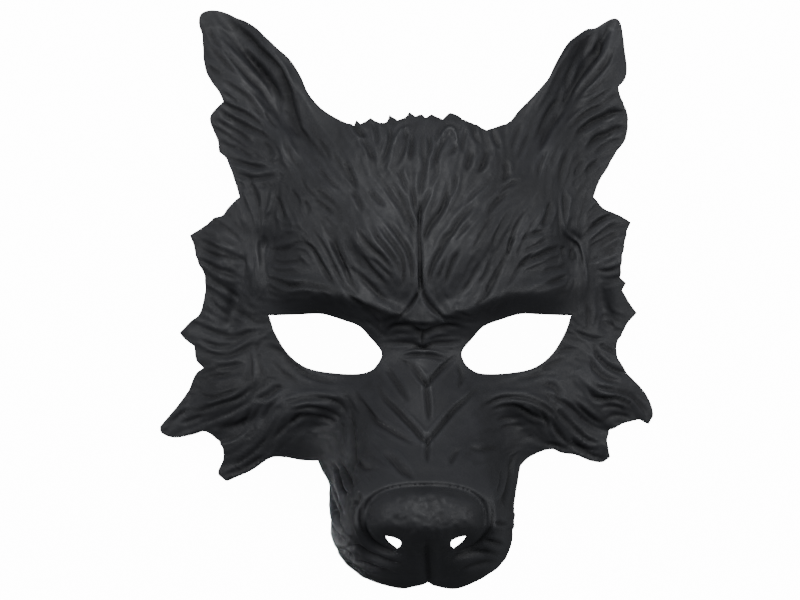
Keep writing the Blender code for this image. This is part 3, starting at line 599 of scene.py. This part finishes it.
# Levels and places at which the main form is worked out, how far to each side the
# way the skin faces is read, and how often a place on the face is tried for
GRID_UP = np.linspace(-3.0, 3.0, 601)
GRID_OUT = np.linspace(0.0, 2.8, 561)
SKIN_REACH = 0.02
FACE_TRIES = 4


def smooth_curve(knots, values, at):
    """Reads a smooth curve through the knots that never overshoots them."""
    span = np.diff(knots)
    slope = np.diff(values) / span
    bend = np.zeros(len(knots))
    same_way = slope[:-1] * slope[1:] > 0
    before = 2 * span[1:] + span[:-1]
    after = span[1:] + 2 * span[:-1]
    inner = np.zeros(len(slope) - 1)
    inner[same_way] = (before + after)[same_way] / (
        before[same_way] / slope[:-1][same_way] + after[same_way] / slope[1:][same_way]
    )
    bend[1:-1] = inner
    at = np.clip(at, knots[0], knots[-1])
    seg = np.clip(np.searchsorted(knots, at) - 1, 0, len(span) - 1)
    t = (at - knots[seg]) / span[seg]
    rise = values[seg] * (1 + 2 * t) * (1 - t) ** 2 + values[seg + 1] * t * t * (3 - 2 * t)
    lean = bend[seg] * t * (1 - t) ** 2 - bend[seg + 1] * t * t * (1 - t)
    return rise + lean * span[seg]


def main_form():
    """The height of the main form over one half of the mask, level by level."""
    rows = np.array(FORM[::-1]) / 100
    levels = [smooth_curve(rows[:, 0], rows[:, k], GRID_UP) for k in range(1, 11)]
    middle, edge_out, edge, flank_out, flank, foot_out, foot, ruff_out, ruff, rim = levels
    grid = []
    for i in range(len(GRID_UP)):
        out = [edge_out[i], flank_out[i], foot_out[i], ruff_out[i]]
        high = [edge[i], flank[i], foot[i], ruff[i]]
        knots = [-out[0], 0.0] + out + [RIM_OUT]
        values = [high[0], middle[i]] + high + [rim[i]]
        grid.append(smooth_curve(np.array(knots), np.array(values), GRID_OUT))
    return np.array(grid)


def unrolled_grid():
    """How far each place is from the middle when its level is rolled out flat."""
    rise = np.diff(MAIN_FORM * MASK_DEPTH, axis=1)
    run = np.hypot(rise, np.diff(GRID_OUT * ACROSS)[None, :])
    return np.concatenate([np.zeros((len(GRID_UP), 1)), np.cumsum(run, axis=1)], axis=1)


def read_grid(grid, row_at, col_at):
    """Reads a grid between its rows and columns."""
    i = np.clip(row_at, 0, grid.shape[0] - 1.001)
    j = np.clip(col_at, 0, grid.shape[1] - 1.001)
    row = i.astype(int)
    col = j.astype(int)
    fi = i - row
    fj = j - col
    near = grid[row, col] * (1 - fj) + grid[row, col + 1] * fj
    far = grid[row + 1, col] * (1 - fj) + grid[row + 1, col + 1] * fj
    return near * (1 - fi) + far * fi


def read_half(grid, across, up):
    """Reads a half grid of the face, left and right alike."""
    row_at = (up - GRID_UP[0]) / (GRID_UP[1] - GRID_UP[0])
    return read_grid(grid, row_at, np.abs(across) / (GRID_OUT[1] - GRID_OUT[0]))


def roll_out(across, up):
    """Lays places on the face out flat, level by level."""
    flat = read_half(UNROLLED, across, up) * np.sign(across)
    return np.stack([flat, up * UP], -1)


def roll_back(flat):
    """The place on the face of each rolled-out point."""
    up = flat[:, 1] / UP
    across = np.zeros(len(flat))
    rows = np.clip(np.searchsorted(GRID_UP, up), 0, len(GRID_UP) - 1)
    for row in np.unique(rows):
        here = rows == row
        reach = np.interp(np.abs(flat[here, 0]), UNROLLED[row], GRID_OUT)
        across[here] = reach * np.sign(flat[here, 0])
    return np.stack([across, up], -1)


def swell(across, up, row, side):
    """One broad swelling or hollow on the right (side 1) or the left (side -1)."""
    middle, level, length, width, turn, rise = row[:6]
    along_x = math.cos(math.radians(turn)) * side
    along_y = math.sin(math.radians(turn))
    dx = across - middle * side
    dy = up - level
    along = (dx * along_x + dy * along_y) / length
    aside = (dy * along_x - dx * along_y) / width
    return rise * np.exp(-(along**2 + aside**2))


def nose_pad(across, up):
    """The swollen nose pad, the groove round it and the dips round the nostrils."""
    x = across * ACROSS / (PAD_WIDTH / 2)
    y = (up * UP + PAD_DROP) / (PAD_HEIGHT / 2)
    edge = (np.abs(x) ** PAD_SQUARENESS + np.abs(y) ** PAD_SQUARENESS) ** (1 / PAD_SQUARENESS)
    pad = 1 / (1 + np.exp((edge - PAD_EDGE) / PAD_SOFTNESS)) * (1 - PAD_CROWN * edge**2)
    cut, place, width = PAD_GROOVE
    groove = cut * np.exp(-(((edge - place) / width) ** 2)) * np.clip(2 * (y - PAD_GROOVE_FROM), 0, 1)
    rise, dip_x, dip_width, dip_y, dip_height = NOSTRIL_DIP
    dip = rise * np.exp(-(((np.abs(x) - dip_x) / dip_width) ** 2) - ((y - dip_y) / dip_height) ** 2)
    return (pad + groove + dip) * PAD_RISE


def broad_height(across, up):
    """Height of the form without its folds."""
    share = read_half(MAIN_FORM, across, up)
    for row in SWELLINGS:
        sides = (1, -1) if row[6] else (1,)
        for side in sides:
            share = share + swell(across, up, row, side)
    height = share * MASK_DEPTH + nose_pad(across, up)
    return np.maximum(height, WALL)


def in_space(across, up, height):
    """The point in space that is seen at a place on the face."""
    draw = 1 - height / VIEW_DISTANCE
    return np.stack([across * ACROSS * draw, up * UP * draw, height], -1)


def on_form(across, up, lowered=0.0):
    """The point of the form at a place on the face, or one a little below it."""
    return in_space(across, up, broad_height(across, up) - lowered)


def skin_normals(across, up):
    """Directions square to the form, pointing out."""
    east_west = on_form(across + SKIN_REACH, up) - on_form(across - SKIN_REACH, up)
    north_south = on_form(across, up + SKIN_REACH) - on_form(across, up - SKIN_REACH)
    normal = np.cross(east_west, north_south)
    return normal / np.linalg.norm(normal, axis=1)[:, None]


def slide(height):
    """How far the camera's stand to the left moves a point of this height in its picture."""
    return CAMERA_ASIDE / ACROSS * height / (VIEW_DISTANCE - height)


def in_picture(across, up, height):
    """Where the camera sees a place, in hundredths of a part right and down."""
    return CAMERA_MIDDLE_X + 100 * (across + slide(height)), CAMERA_MIDDLE_Y - 100 * up


def on_face(right, down):
    """The place on the face that the camera sees at a place in its picture."""
    up = (CAMERA_MIDDLE_Y - down) / 100
    across = (right - CAMERA_MIDDLE_X) / 100
    for _ in range(FACE_TRIES):
        across = (right - CAMERA_MIDDLE_X) / 100 - slide(broad_height(across, up))
    return across, up


def through(places, samples):
    """Points along a smooth curve through a few places."""
    places = np.array(places, dtype=float)
    steps = np.linalg.norm(np.diff(places, axis=0), axis=1)
    at = np.concatenate([[0.0], np.cumsum(steps)])
    first = 2 * places[0] - places[1]
    last = 2 * places[-1] - places[-2]
    padded = np.vstack([first, places, last])
    points = []
    for s in np.linspace(0, at[-1], samples):
        k = min(int(np.searchsorted(at, s, side="right")) - 1, len(places) - 2)
        t = (s - at[k]) / (at[k + 1] - at[k])
        p0, p1, p2, p3 = padded[k:k + 4]
        points.append(
            0.5 * (2 * p1 + (p2 - p0) * t + (2 * p0 - 5 * p1 + 4 * p2 - p3) * t**2
                   + (3 * p1 - p0 - 3 * p2 + p3) * t**3)
        )
    return np.array(points)


def groove(right, down, width, depth, places):
    """The relief of one groove, in metres, and which of the points it reaches."""
    path = through(places, GROOVE_SAMPLES * len(places))
    reach = PROFILE_REACH * width
    near = (right > path[:, 0].min() - reach) & (right < path[:, 0].max() + reach)
    near &= (down > path[:, 1].min() - reach) & (down < path[:, 1].max() + reach)
    index = np.nonzero(near)[0]
    x = right[index]
    y = down[index]
    best = np.full(len(index), np.inf)
    along = np.zeros(len(index))
    lengths = np.linalg.norm(np.diff(path, axis=0), axis=1)
    start = 0.0
    for (ax, ay), (bx, by), length in zip(path[:-1], path[1:], lengths):
        t = np.clip(((x - ax) * (bx - ax) + (y - ay) * (by - ay)) / length**2, 0, 1)
        away = np.hypot(x - ax - t * (bx - ax), y - ay - t * (by - ay))
        nearer = away < best
        best[nearer] = away[nearer]
        along[nearer] = start + t[nearer] * length
        start += length
    fade = np.clip(np.minimum(along, start - along) / (TAPER * start) + END_DEPTH, 0, 1)
    fade = np.sin(fade * math.pi / 2)
    r = best / (width * (END_WIDTH + (1 - END_WIDTH) * fade))
    profile = sum(rise * np.exp(-(((r - place) / half) ** 2)) for rise, place, half in PROFILE)
    return index, profile * fade * depth * DEPTH_UNIT


def carving(right, down):
    """All the grooves and ridges together, in metres."""
    relief = np.zeros(len(right))
    for width, depth, places in GROOVES:
        index, cut = groove(right, down, width, depth, places)
        relief[index] += cut
    return relief


def pad_points(step):
    """Rolled-out points along the nose pad's edge and the groove round it."""
    angles = np.linspace(0, 2 * math.pi, round(math.pi * PAD_WIDTH / step), endpoint=False)
    x = np.sign(np.cos(angles)) * np.abs(np.cos(angles)) ** (2 / PAD_SQUARENESS)
    y = np.sign(np.sin(angles)) * np.abs(np.sin(angles)) ** (2 / PAD_SQUARENESS)
    x = np.concatenate([x * share for share in PAD_RINGS])
    y = np.concatenate([y * share for share in PAD_RINGS])
    above = y > PAD_SHARP_DOWN_TO
    across = x[above] * PAD_WIDTH / 2 / ACROSS
    return roll_out(across, (y[above] * PAD_HEIGHT / 2 - PAD_DROP) / UP)


def groove_points(step):
    """Rolled-out points along every groove's bottom and both its banks."""
    points = []
    for width, _, places in GROOVES:
        path = through(places, GROOVE_SAMPLES * len(places))
        length = np.linalg.norm(np.diff(path, axis=0), axis=1).sum()
        path = through(places, max(3, round(length * PIXEL / step)))
        ahead = np.gradient(path, axis=0)
        side = np.stack([-ahead[:, 1], ahead[:, 0]], -1) / np.linalg.norm(ahead, axis=1)[:, None]
        points.extend(path + side * away * width for away in GROOVE_LINES)
    points = np.vstack(points)
    flat = np.vstack([roll_out(*on_face(points[:, 0], points[:, 1])), pad_points(step)])
    _, first = np.unique(np.round(flat / (GROOVE_MESH_GAP * step)), axis=0, return_index=True)
    return flat[np.sort(first)]


def flow_field(shape):
    """The way that the fur lies, from the grooves nearby, and how much of it there is."""
    down, right = np.mgrid[0:shape[0], 0:shape[1]] * float(FLOW_CELL)
    turn_x = np.full(shape, 1e-6)
    turn_y = np.zeros(shape)
    cover = np.zeros(shape)
    for _, _, places in GROOVES:
        path = through(places, FLOW_SAMPLES * len(places))
        for (ax, ay), (bx, by) in zip(path[:-1], path[1:]):
            angle = 2 * math.atan2(by - ay, bx - ax)
            away = (right - (ax + bx) / 2) ** 2 + (down - (ay + by) / 2) ** 2
            weight = np.exp(-away / FLOW_REACH**2)
            turn_x += weight * math.cos(angle)
            turn_y += weight * math.sin(angle)
            cover += weight
    return np.arctan2(turn_y, turn_x), np.clip(cover / FULL_COVER, 0, 1)


def softened_noise(seed, softness):
    """A fixed random pattern of the grain's size, blurred along both its ways."""
    grid = np.random.default_rng(seed).normal(size=GRAIN_SHAPE)
    steps = np.arange(-BLUR_REACH, BLUR_REACH + 1)
    weights = np.exp(-(steps / softness) ** 2)
    weights /= weights.sum()
    for axis in (0, 1):
        grid = sum(w * np.roll(grid, s, axis=axis) for s, w in zip(steps, weights))
    return grid


def fur_grain():
    """Fine hairs that follow the flow of the grooves, as a grid over the picture."""
    rows, columns = GRAIN_SHAPE
    double_turn, cover = flow_field((rows // FLOW_CELL + 2, columns // FLOW_CELL + 2))
    down, right = np.mgrid[0:rows, 0:columns].astype(float)
    cos_two = read_grid(np.cos(double_turn), down / FLOW_CELL, right / FLOW_CELL)
    sin_two = read_grid(np.sin(double_turn), down / FLOW_CELL, right / FLOW_CELL)
    angle = np.arctan2(sin_two, cos_two) / 2
    total = np.zeros(GRAIN_SHAPE)
    for seed, (width, length, depth) in enumerate(GRAIN):
        pattern = softened_noise(seed, width)
        hairs = np.zeros(GRAIN_SHAPE)
        for step in range(-length, length + 1, 2):
            hairs += read_grid(pattern, down + step * np.sin(angle), right + step * np.cos(angle))
        total += hairs / hairs.std() * depth
    total *= read_grid(cover, down / FLOW_CELL, right / FLOW_CELL)
    for middle_x, middle_y, half_x, half_y in SMOOTH:
        away = np.hypot((right - middle_x) / half_x, (down - middle_y) / half_y)
        total *= np.clip(3 * (away - SMOOTH_EDGE), SMOOTH_REST, 1)
    middle_x, middle_y, half_x, half_y, depth = STIPPLE
    away = np.hypot((right - middle_x) / half_x, (down - middle_y) / half_y)
    leather = softened_noise(STIPPLE_SEED, STIPPLE_SOFTNESS)
    return total + leather / leather.std() * np.clip(2 * (1 - away), 0, 1) * depth


def outer_skin(across, up):
    """Points of the outside with its carving, and how far each is carved."""
    base_height = broad_height(across, up)
    right, down = in_picture(across, up, base_height)
    relief = carving(right, down) + read_grid(FUR, down, right)
    points = in_space(across, up, base_height) + skin_normals(across, up) * relief[:, None]
    points[:, 2] = np.maximum(points[:, 2], LOWEST_OUTSIDE)
    return points, relief


def inner_skin(across, up):
    """The inside, one wall and a little more in from the form, never below the rim."""
    inner = on_form(across, up) - skin_normals(across, up) * (WALL + EXTRA_WALL)
    inner[:, 2] = np.maximum(inner[:, 2], 0)
    return inner


def closed_curve(rows, step):
    """Points along a closed outline, smooth except at the sharp places."""
    count = len(rows)
    starts = [k for k in range(count) if len(rows[k]) > 2]
    points = []
    for n, start in enumerate(starts):
        end = starts[(n + 1) % len(starts)]
        span = (end - start) % count or count
        places = [rows[(start + k) % count][:2] for k in range(span + 1)]
        fine = through(places, OUTLINE_SAMPLES * span + 1)
        steps = np.linalg.norm(np.diff(fine * [ACROSS, UP], axis=0), axis=1)
        length = np.concatenate([[0], np.cumsum(steps)])
        pieces = max(1, round(length[-1] / step))
        at = np.linspace(0, length[-1], pieces + 1)[:-1]
        points.extend(zip(np.interp(at, length, fine[:, 0]), np.interp(at, length, fine[:, 1])))
    return np.array(points)


def hole(rows, side, gap, width, height, drop):
    """The outline of a hole on the right (side 1) or the left (side -1)."""
    return [
        ((gap / 2 + along * width) / ACROSS * side, (high * height - drop) / UP, *sharp)
        for along, high, *sharp in rows
    ]


def all_loops(step):
    """The outline, both eye holes and both nostrils, as places on the face."""
    eyes = [hole(EYE_HOLE, side, EYE_GAP, EYE_LENGTH, EYE_HEIGHT, EYE_DROP) for side in (1, -1)]
    nostrils = [
        hole(NOSTRIL, side, NOSTRIL_GAP, NOSTRIL_WIDTH, NOSTRIL_HEIGHT, NOSTRIL_DROP)
        for side in (1, -1)
    ]
    outline = [(across / 100, up / 100, *sharp) for across, up, *sharp in OUTLINE]
    loops = [closed_curve(rows, step) for rows in [outline] + eyes]
    return loops + [closed_curve(rows, step * NOSTRIL_STEP_SHARE) for rows in nostrils]


def inside(points, loop):
    """Which points lie inside a closed loop."""
    order = np.argsort(points[:, 1])
    x, y = points[order].T
    found = np.zeros(len(points), dtype=bool)
    for (ax, ay), (bx, by) in zip(loop, np.roll(loop, -1, axis=0)):
        first, last = np.searchsorted(y, [min(ay, by), max(ay, by)])
        at = ax + (y[first:last] - ay) / (by - ay or 1) * (bx - ax)
        found[first:last] ^= x[first:last] < at
    return found[np.argsort(order)]


def in_plastic(points, loops):
    """Which points lie inside the outline, the first loop, and outside the holes."""
    keep = inside(points, loops[0])
    for loop in loops[1:]:
        keep &= ~inside(points, loop)
    return keep


def clear_of(points, others, gap):
    """Which points lie at least a gap away from all the others."""
    order = np.argsort(points[:, 1])
    x, y = points[order].T
    keep = np.ones(len(points), dtype=bool)
    for ox, oy in others:
        first, last = np.searchsorted(y, [oy - gap, oy + gap])
        keep[first:last] &= np.hypot(x[first:last] - ox, y[first:last] - oy) > gap
    return keep[np.argsort(order)]


def lay_points(rolled, step, along_grooves):
    """Rolled-out points inside the outline and outside the holes, about one step apart."""
    low = rolled[0].min(axis=0)
    high = rolled[0].max(axis=0)
    lattice = []
    for n, y in enumerate(np.arange(low[1], high[1], step * LATTICE_ROW)):
        xs = np.arange(low[0] + step * 0.5 * (n % 2), high[0], step)
        lattice.append(np.stack([xs, np.full(len(xs), y)], -1))
    lattice = np.vstack(lattice)
    if along_grooves:
        carved = groove_points(step)
        lattice = np.vstack([carved, lattice[clear_of(lattice, carved, OFF_GROOVES * step)]])
    lattice = lattice[in_plastic(lattice, rolled)]
    return lattice[clear_of(lattice, np.vstack(rolled), OFF_RIMS * step)]


def triangles(rolled, flat):
    """Joins the loops and the inner points into triangles that follow the loops."""
    places = np.vstack(rolled + [flat])
    edges = []
    start = 0
    for loop in rolled:
        count = len(loop)
        edges.extend((start + k, start + (k + 1) % count) for k in range(count))
        start += count
    _, _, faces, origins, _, _ = delaunay_2d_cdt([Vector(p) for p in places], edges, [], 0, 1e-9)
    back = [group[0] for group in origins]
    found = np.array([[back[v] for v in face] for face in faces])
    found = found[in_plastic(places[found].mean(axis=1), rolled)]
    a, b, c = places[found[:, 0]], places[found[:, 1]], places[found[:, 2]]
    turned = (b - a)[:, 0] * (c - a)[:, 1] - (b - a)[:, 1] * (c - a)[:, 0] < 0
    found[turned] = found[turned][:, ::-1]
    return found


def turns_left(loop):
    """Whether a closed loop goes round to the left."""
    ahead = np.roll(loop, -1, axis=0)
    return np.sum(loop[:, 0] * ahead[:, 1] - ahead[:, 0] * loop[:, 1]) > 0


def out_of_plastic(loop, is_outline):
    """For each point of a rim, the way across it, out of the plastic."""
    ahead = np.roll(loop, -1, axis=0) - np.roll(loop, 1, axis=0)
    side = np.stack([ahead[:, 1], -ahead[:, 0]], -1)
    side /= np.linalg.norm(side, axis=1)[:, None]
    return side if turns_left(loop) == is_outline else -side


def rounded_rims(loops, outer, inner):
    """The middle line of each rim, standing out a little between the two skins."""
    sides = np.vstack([out_of_plastic(loop, n == 0) for n, loop in enumerate(loops)])
    count = len(sides)
    middle = (outer[:count] + inner[:count]) / 2
    middle[:, :2] += sides * RIM_BULGE
    return middle


def rim_faces(loops, to_inner, to_rim):
    """Two bands of faces round each rim, from the outside over its middle line."""
    faces = []
    start = 0
    for n, loop in enumerate(loops):
        count = len(loop)
        turned = turns_left(loop) != (n == 0)
        for k in range(count):
            a = start + k
            b = start + (k + 1) % count
            if turned:
                a, b = b, a
            faces.append((a, a + to_rim, b + to_rim, b))
            faces.append((a + to_rim, a + to_inner, b + to_inner, b + to_rim))
        start += count
    return faces


def inside_points(loops, rolled, flat):
    """The points of the inside: straight down at the holes, so that they stay open."""
    border = np.vstack(loops)
    places = np.vstack([border, roll_back(flat)])
    inner = inner_skin(places[:, 0], places[:, 1])
    open_below = np.arange(len(inner)) >= len(loops[0])
    open_below[len(border):] = ~clear_of(flat, np.vstack(rolled[3:]), NOSTRIL_CLEAR)
    inner[open_below] = on_form(*places[open_below].T, HOLE_DEPTH)
    return inner


def new_object(name, data):
    """An object in the scene."""
    made = bpy.data.objects.new(name, data)
    bpy.context.collection.objects.link(made)
    return made


def mask_object():
    """The closed shell: the outside, the inside and the rounded rims between them."""
    step = OUTER_STEP
    loops = all_loops(step)
    rolled = [roll_out(*loop.T) for loop in loops]
    outer_flat = lay_points(rolled, step, True)
    inner_flat = lay_points(rolled, INNER_STEP, False)
    outer_faces = triangles(rolled, outer_flat)
    inner_faces = triangles(rolled, inner_flat)
    outer_places = np.vstack(loops + [roll_back(outer_flat)])
    outer, relief = outer_skin(outer_places[:, 0], outer_places[:, 1])
    inner = inside_points(loops, rolled, inner_flat)
    points = np.vstack([outer, inner, rounded_rims(loops, outer, inner)])
    to_inner = len(outer)
    faces = outer_faces.tolist() + (inner_faces[:, ::-1] + to_inner).tolist()
    faces += rim_faces(loops, to_inner, to_inner + len(inner))
    mesh = bpy.data.meshes.new("moulded_mask")
    mesh.from_pydata(points.tolist(), [], faces)
    mesh.shade_smooth()
    # The carving depth, which the outside's colour reads to paint shade into the grooves and a sheen onto
    # the ridges
    carved = np.zeros(len(points), dtype=np.float32)
    carved[:to_inner] = relief / CARVING_UNIT
    mesh.attributes.new("carved", "FLOAT", "POINT").data.foreach_set("value", carved)
    mesh.materials.append(moulded_black())
    mesh.materials.append(moulded_back())
    which = np.zeros(len(mesh.polygons), dtype=np.int32)
    which[len(outer_faces):len(outer_faces) + len(inner_faces)] = 1
    mesh.polygons.foreach_set("material_index", which)
    mesh.transform(Matrix.Translation((BROWS_X, BROWS_Y, 0)))
    return new_object("moulded_mask", mesh)


def new_material(name):
    """A material, its node tree and its shader."""
    material = bpy.data.materials.new(name)
    material.use_nodes = True
    tree = material.node_tree
    return material, tree, tree.nodes["Principled BSDF"]


def add_node(tree, kind, **values):
    """A node with its settings and its inputs' fixed values."""
    node = tree.nodes.new(kind)
    for name, value in values.items():
        if name in node.inputs:
            node.inputs[name].default_value = value
        else:
            setattr(node, name, value)
    return node


def ramp(tree, source, low, high, from_low, from_high):
    """Spreads a number over a new range."""
    node = add_node(tree, "ShaderNodeMapRange")
    node.inputs["From Min"].default_value = from_low
    node.inputs["From Max"].default_value = from_high
    node.inputs["To Min"].default_value = low
    node.inputs["To Max"].default_value = high
    tree.links.new(source, node.inputs["Value"])
    return node.outputs["Result"]


def product(tree, first, second):
    """Two numbers multiplied."""
    node = add_node(tree, "ShaderNodeMath", operation="MULTIPLY")
    tree.links.new(first, node.inputs[0])
    tree.links.new(second, node.inputs[1])
    return node.outputs[0]


def noise(tree, place, scale, detail, roughness=0.55):
    """Patches of a random pattern."""
    node = add_node(tree, "ShaderNodeTexNoise", Scale=scale, Detail=detail, Roughness=roughness)
    tree.links.new(place, node.inputs["Vector"])
    return node.outputs["Fac"]


def bump(tree, shader, height, strength, distance):
    """Fine bumps on the surface."""
    node = add_node(tree, "ShaderNodeBump", Strength=strength, Distance=distance)
    tree.links.new(height, node.inputs["Height"])
    tree.links.new(node.outputs["Normal"], shader.inputs["Normal"])


def moulded_black():
    """Satin black plastic: rubbed a little smoother on the ridges, dull in the grooves, with painted shade
    darkening the grooves and a painted sheen lightening the ridges.
    """
    material, tree, shader = new_material("moulded_black")
    place = add_node(tree, "ShaderNodeTexCoord").outputs["Object"]
    carved = add_node(tree, "ShaderNodeAttribute", attribute_name="carved").outputs["Fac"]
    patches = noise(tree, place, scale=38, detail=4)
    grain = noise(tree, place, scale=900, detail=5, roughness=0.6)
    scuffs = noise(tree, place, scale=240, detail=3, roughness=0.65)

    # Painted shade and sheen: the colour is darker down in the grooves and lighter up on the ridges
    tone = ramp(tree, carved, *GROOVE_SHADE_RIDGE_SHEEN_TONE, -1.0, 0.5)
    tone = product(tree, tone, ramp(tree, patches, 0.82, 1.2, *NOISE_RANGE))
    colour = add_node(tree, "ShaderNodeCombineColor")
    tree.links.new(tone, colour.inputs["Red"])
    for channel, share in TINT.items():
        tree.links.new(ramp(tree, tone, 0.0, share, 0.0, 1.0), colour.inputs[channel])
    tree.links.new(colour.outputs["Color"], shader.inputs["Base Color"])

    rough = ramp(tree, carved, *ROUGHNESS, -0.9, 0.4)
    rough = product(tree, rough, ramp(tree, scuffs, 0.88, 1.14, *NOISE_RANGE))
    tree.links.new(rough, shader.inputs["Roughness"])
    shader.inputs["Specular IOR Level"].default_value = 0.40
    bump(tree, shader, grain, strength=0.35, distance=0.00025)
    return material


def moulded_back():
    """The rough inside of the shell, which nothing polishes."""
    material, tree, shader = new_material("moulded_back")
    place = add_node(tree, "ShaderNodeTexCoord").outputs["Object"]
    patches = noise(tree, place, scale=60, detail=4)
    tone = ramp(tree, patches, *BACK_TONE, *NOISE_RANGE)
    colour = add_node(tree, "ShaderNodeCombineColor")
    for channel in ("Red", "Green", "Blue"):
        tree.links.new(tone, colour.inputs[channel])
    tree.links.new(colour.outputs["Color"], shader.inputs["Base Color"])
    tree.links.new(ramp(tree, patches, *BACK_ROUGHNESS, *NOISE_RANGE), shader.inputs["Roughness"])
    bumps = noise(tree, place, scale=420, detail=4)
    bump(tree, shader, bumps, strength=0.5, distance=0.0005)
    return material


def pale_floor():
    """A plain pale board that glows faintly, so the holes read white too."""
    mesh = bpy.data.meshes.new("floor")
    half = FLOOR_HALF
    corners = [(-half, -half), (half, -half), (half, half), (-half, half)]
    mesh.from_pydata([(x, y, -FLOOR_DROP) for x, y in corners], [], [(0, 1, 2, 3)])
    floor = new_object("floor", mesh)
    material, _, shader = new_material("pale_board")
    shader.inputs["Base Color"].default_value = (0.9, 0.9, 0.9, 1)
    shader.inputs["Roughness"].default_value = 0.9
    shader.inputs["Specular IOR Level"].default_value = 0.1
    shader.inputs["Emission Color"].default_value = (1, 1, 1, 1)
    shader.inputs["Emission Strength"].default_value = FLOOR_GLOW
    mesh.materials.append(material)
    floor.visible_diffuse = False
    floor.visible_glossy = False


def soft_light(name, place, size, power, target, beam):
    """A square soft light that points at a place on the mask."""
    light = bpy.data.lights.new(name, "AREA")
    light.shape = "SQUARE"
    light.size = size
    light.energy = power
    light.spread = math.radians(beam)
    lamp = new_object(name, light)
    lamp.location = place
    lamp.rotation_euler = (Vector(target) - Vector(place)).to_track_quat("-Z", "Y").to_euler()


def studio():
    """A dim, faintly blue room with its soft lights."""
    world = bpy.data.worlds.new("studio")
    world.use_nodes = True
    sky = world.node_tree.nodes["Background"]
    sky.inputs["Color"].default_value = (0.93, 0.96, 1, 1)
    sky.inputs["Strength"].default_value = SKY_LIGHT
    bpy.context.scene.world = world
    for light in LIGHTS:
        soft_light(*light)


def camera():
    """Looks straight down on the mask, a little to the left of the brows."""
    lens = bpy.data.cameras.new("camera")
    lens.sensor_width = SENSOR_WIDTH
    lens.lens = VIEW_DISTANCE / PIXEL * SENSOR_WIDTH / PICTURE_WIDTH
    lens.shift_x = (PICTURE_WIDTH / 2 - CAMERA_MIDDLE_X + CAMERA_ASIDE / PIXEL) / PICTURE_WIDTH
    eye = new_object("camera", lens)
    eye.location = (BROWS_X - CAMERA_ASIDE, BROWS_Y, VIEW_DISTANCE)
    bpy.context.scene.camera = eye


MAIN_FORM = main_form()
UNROLLED = unrolled_grid()
FUR = fur_grain()

camera()
studio()
pale_floor()
mask = mask_object()
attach(mask, "root")
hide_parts("mask_shell")
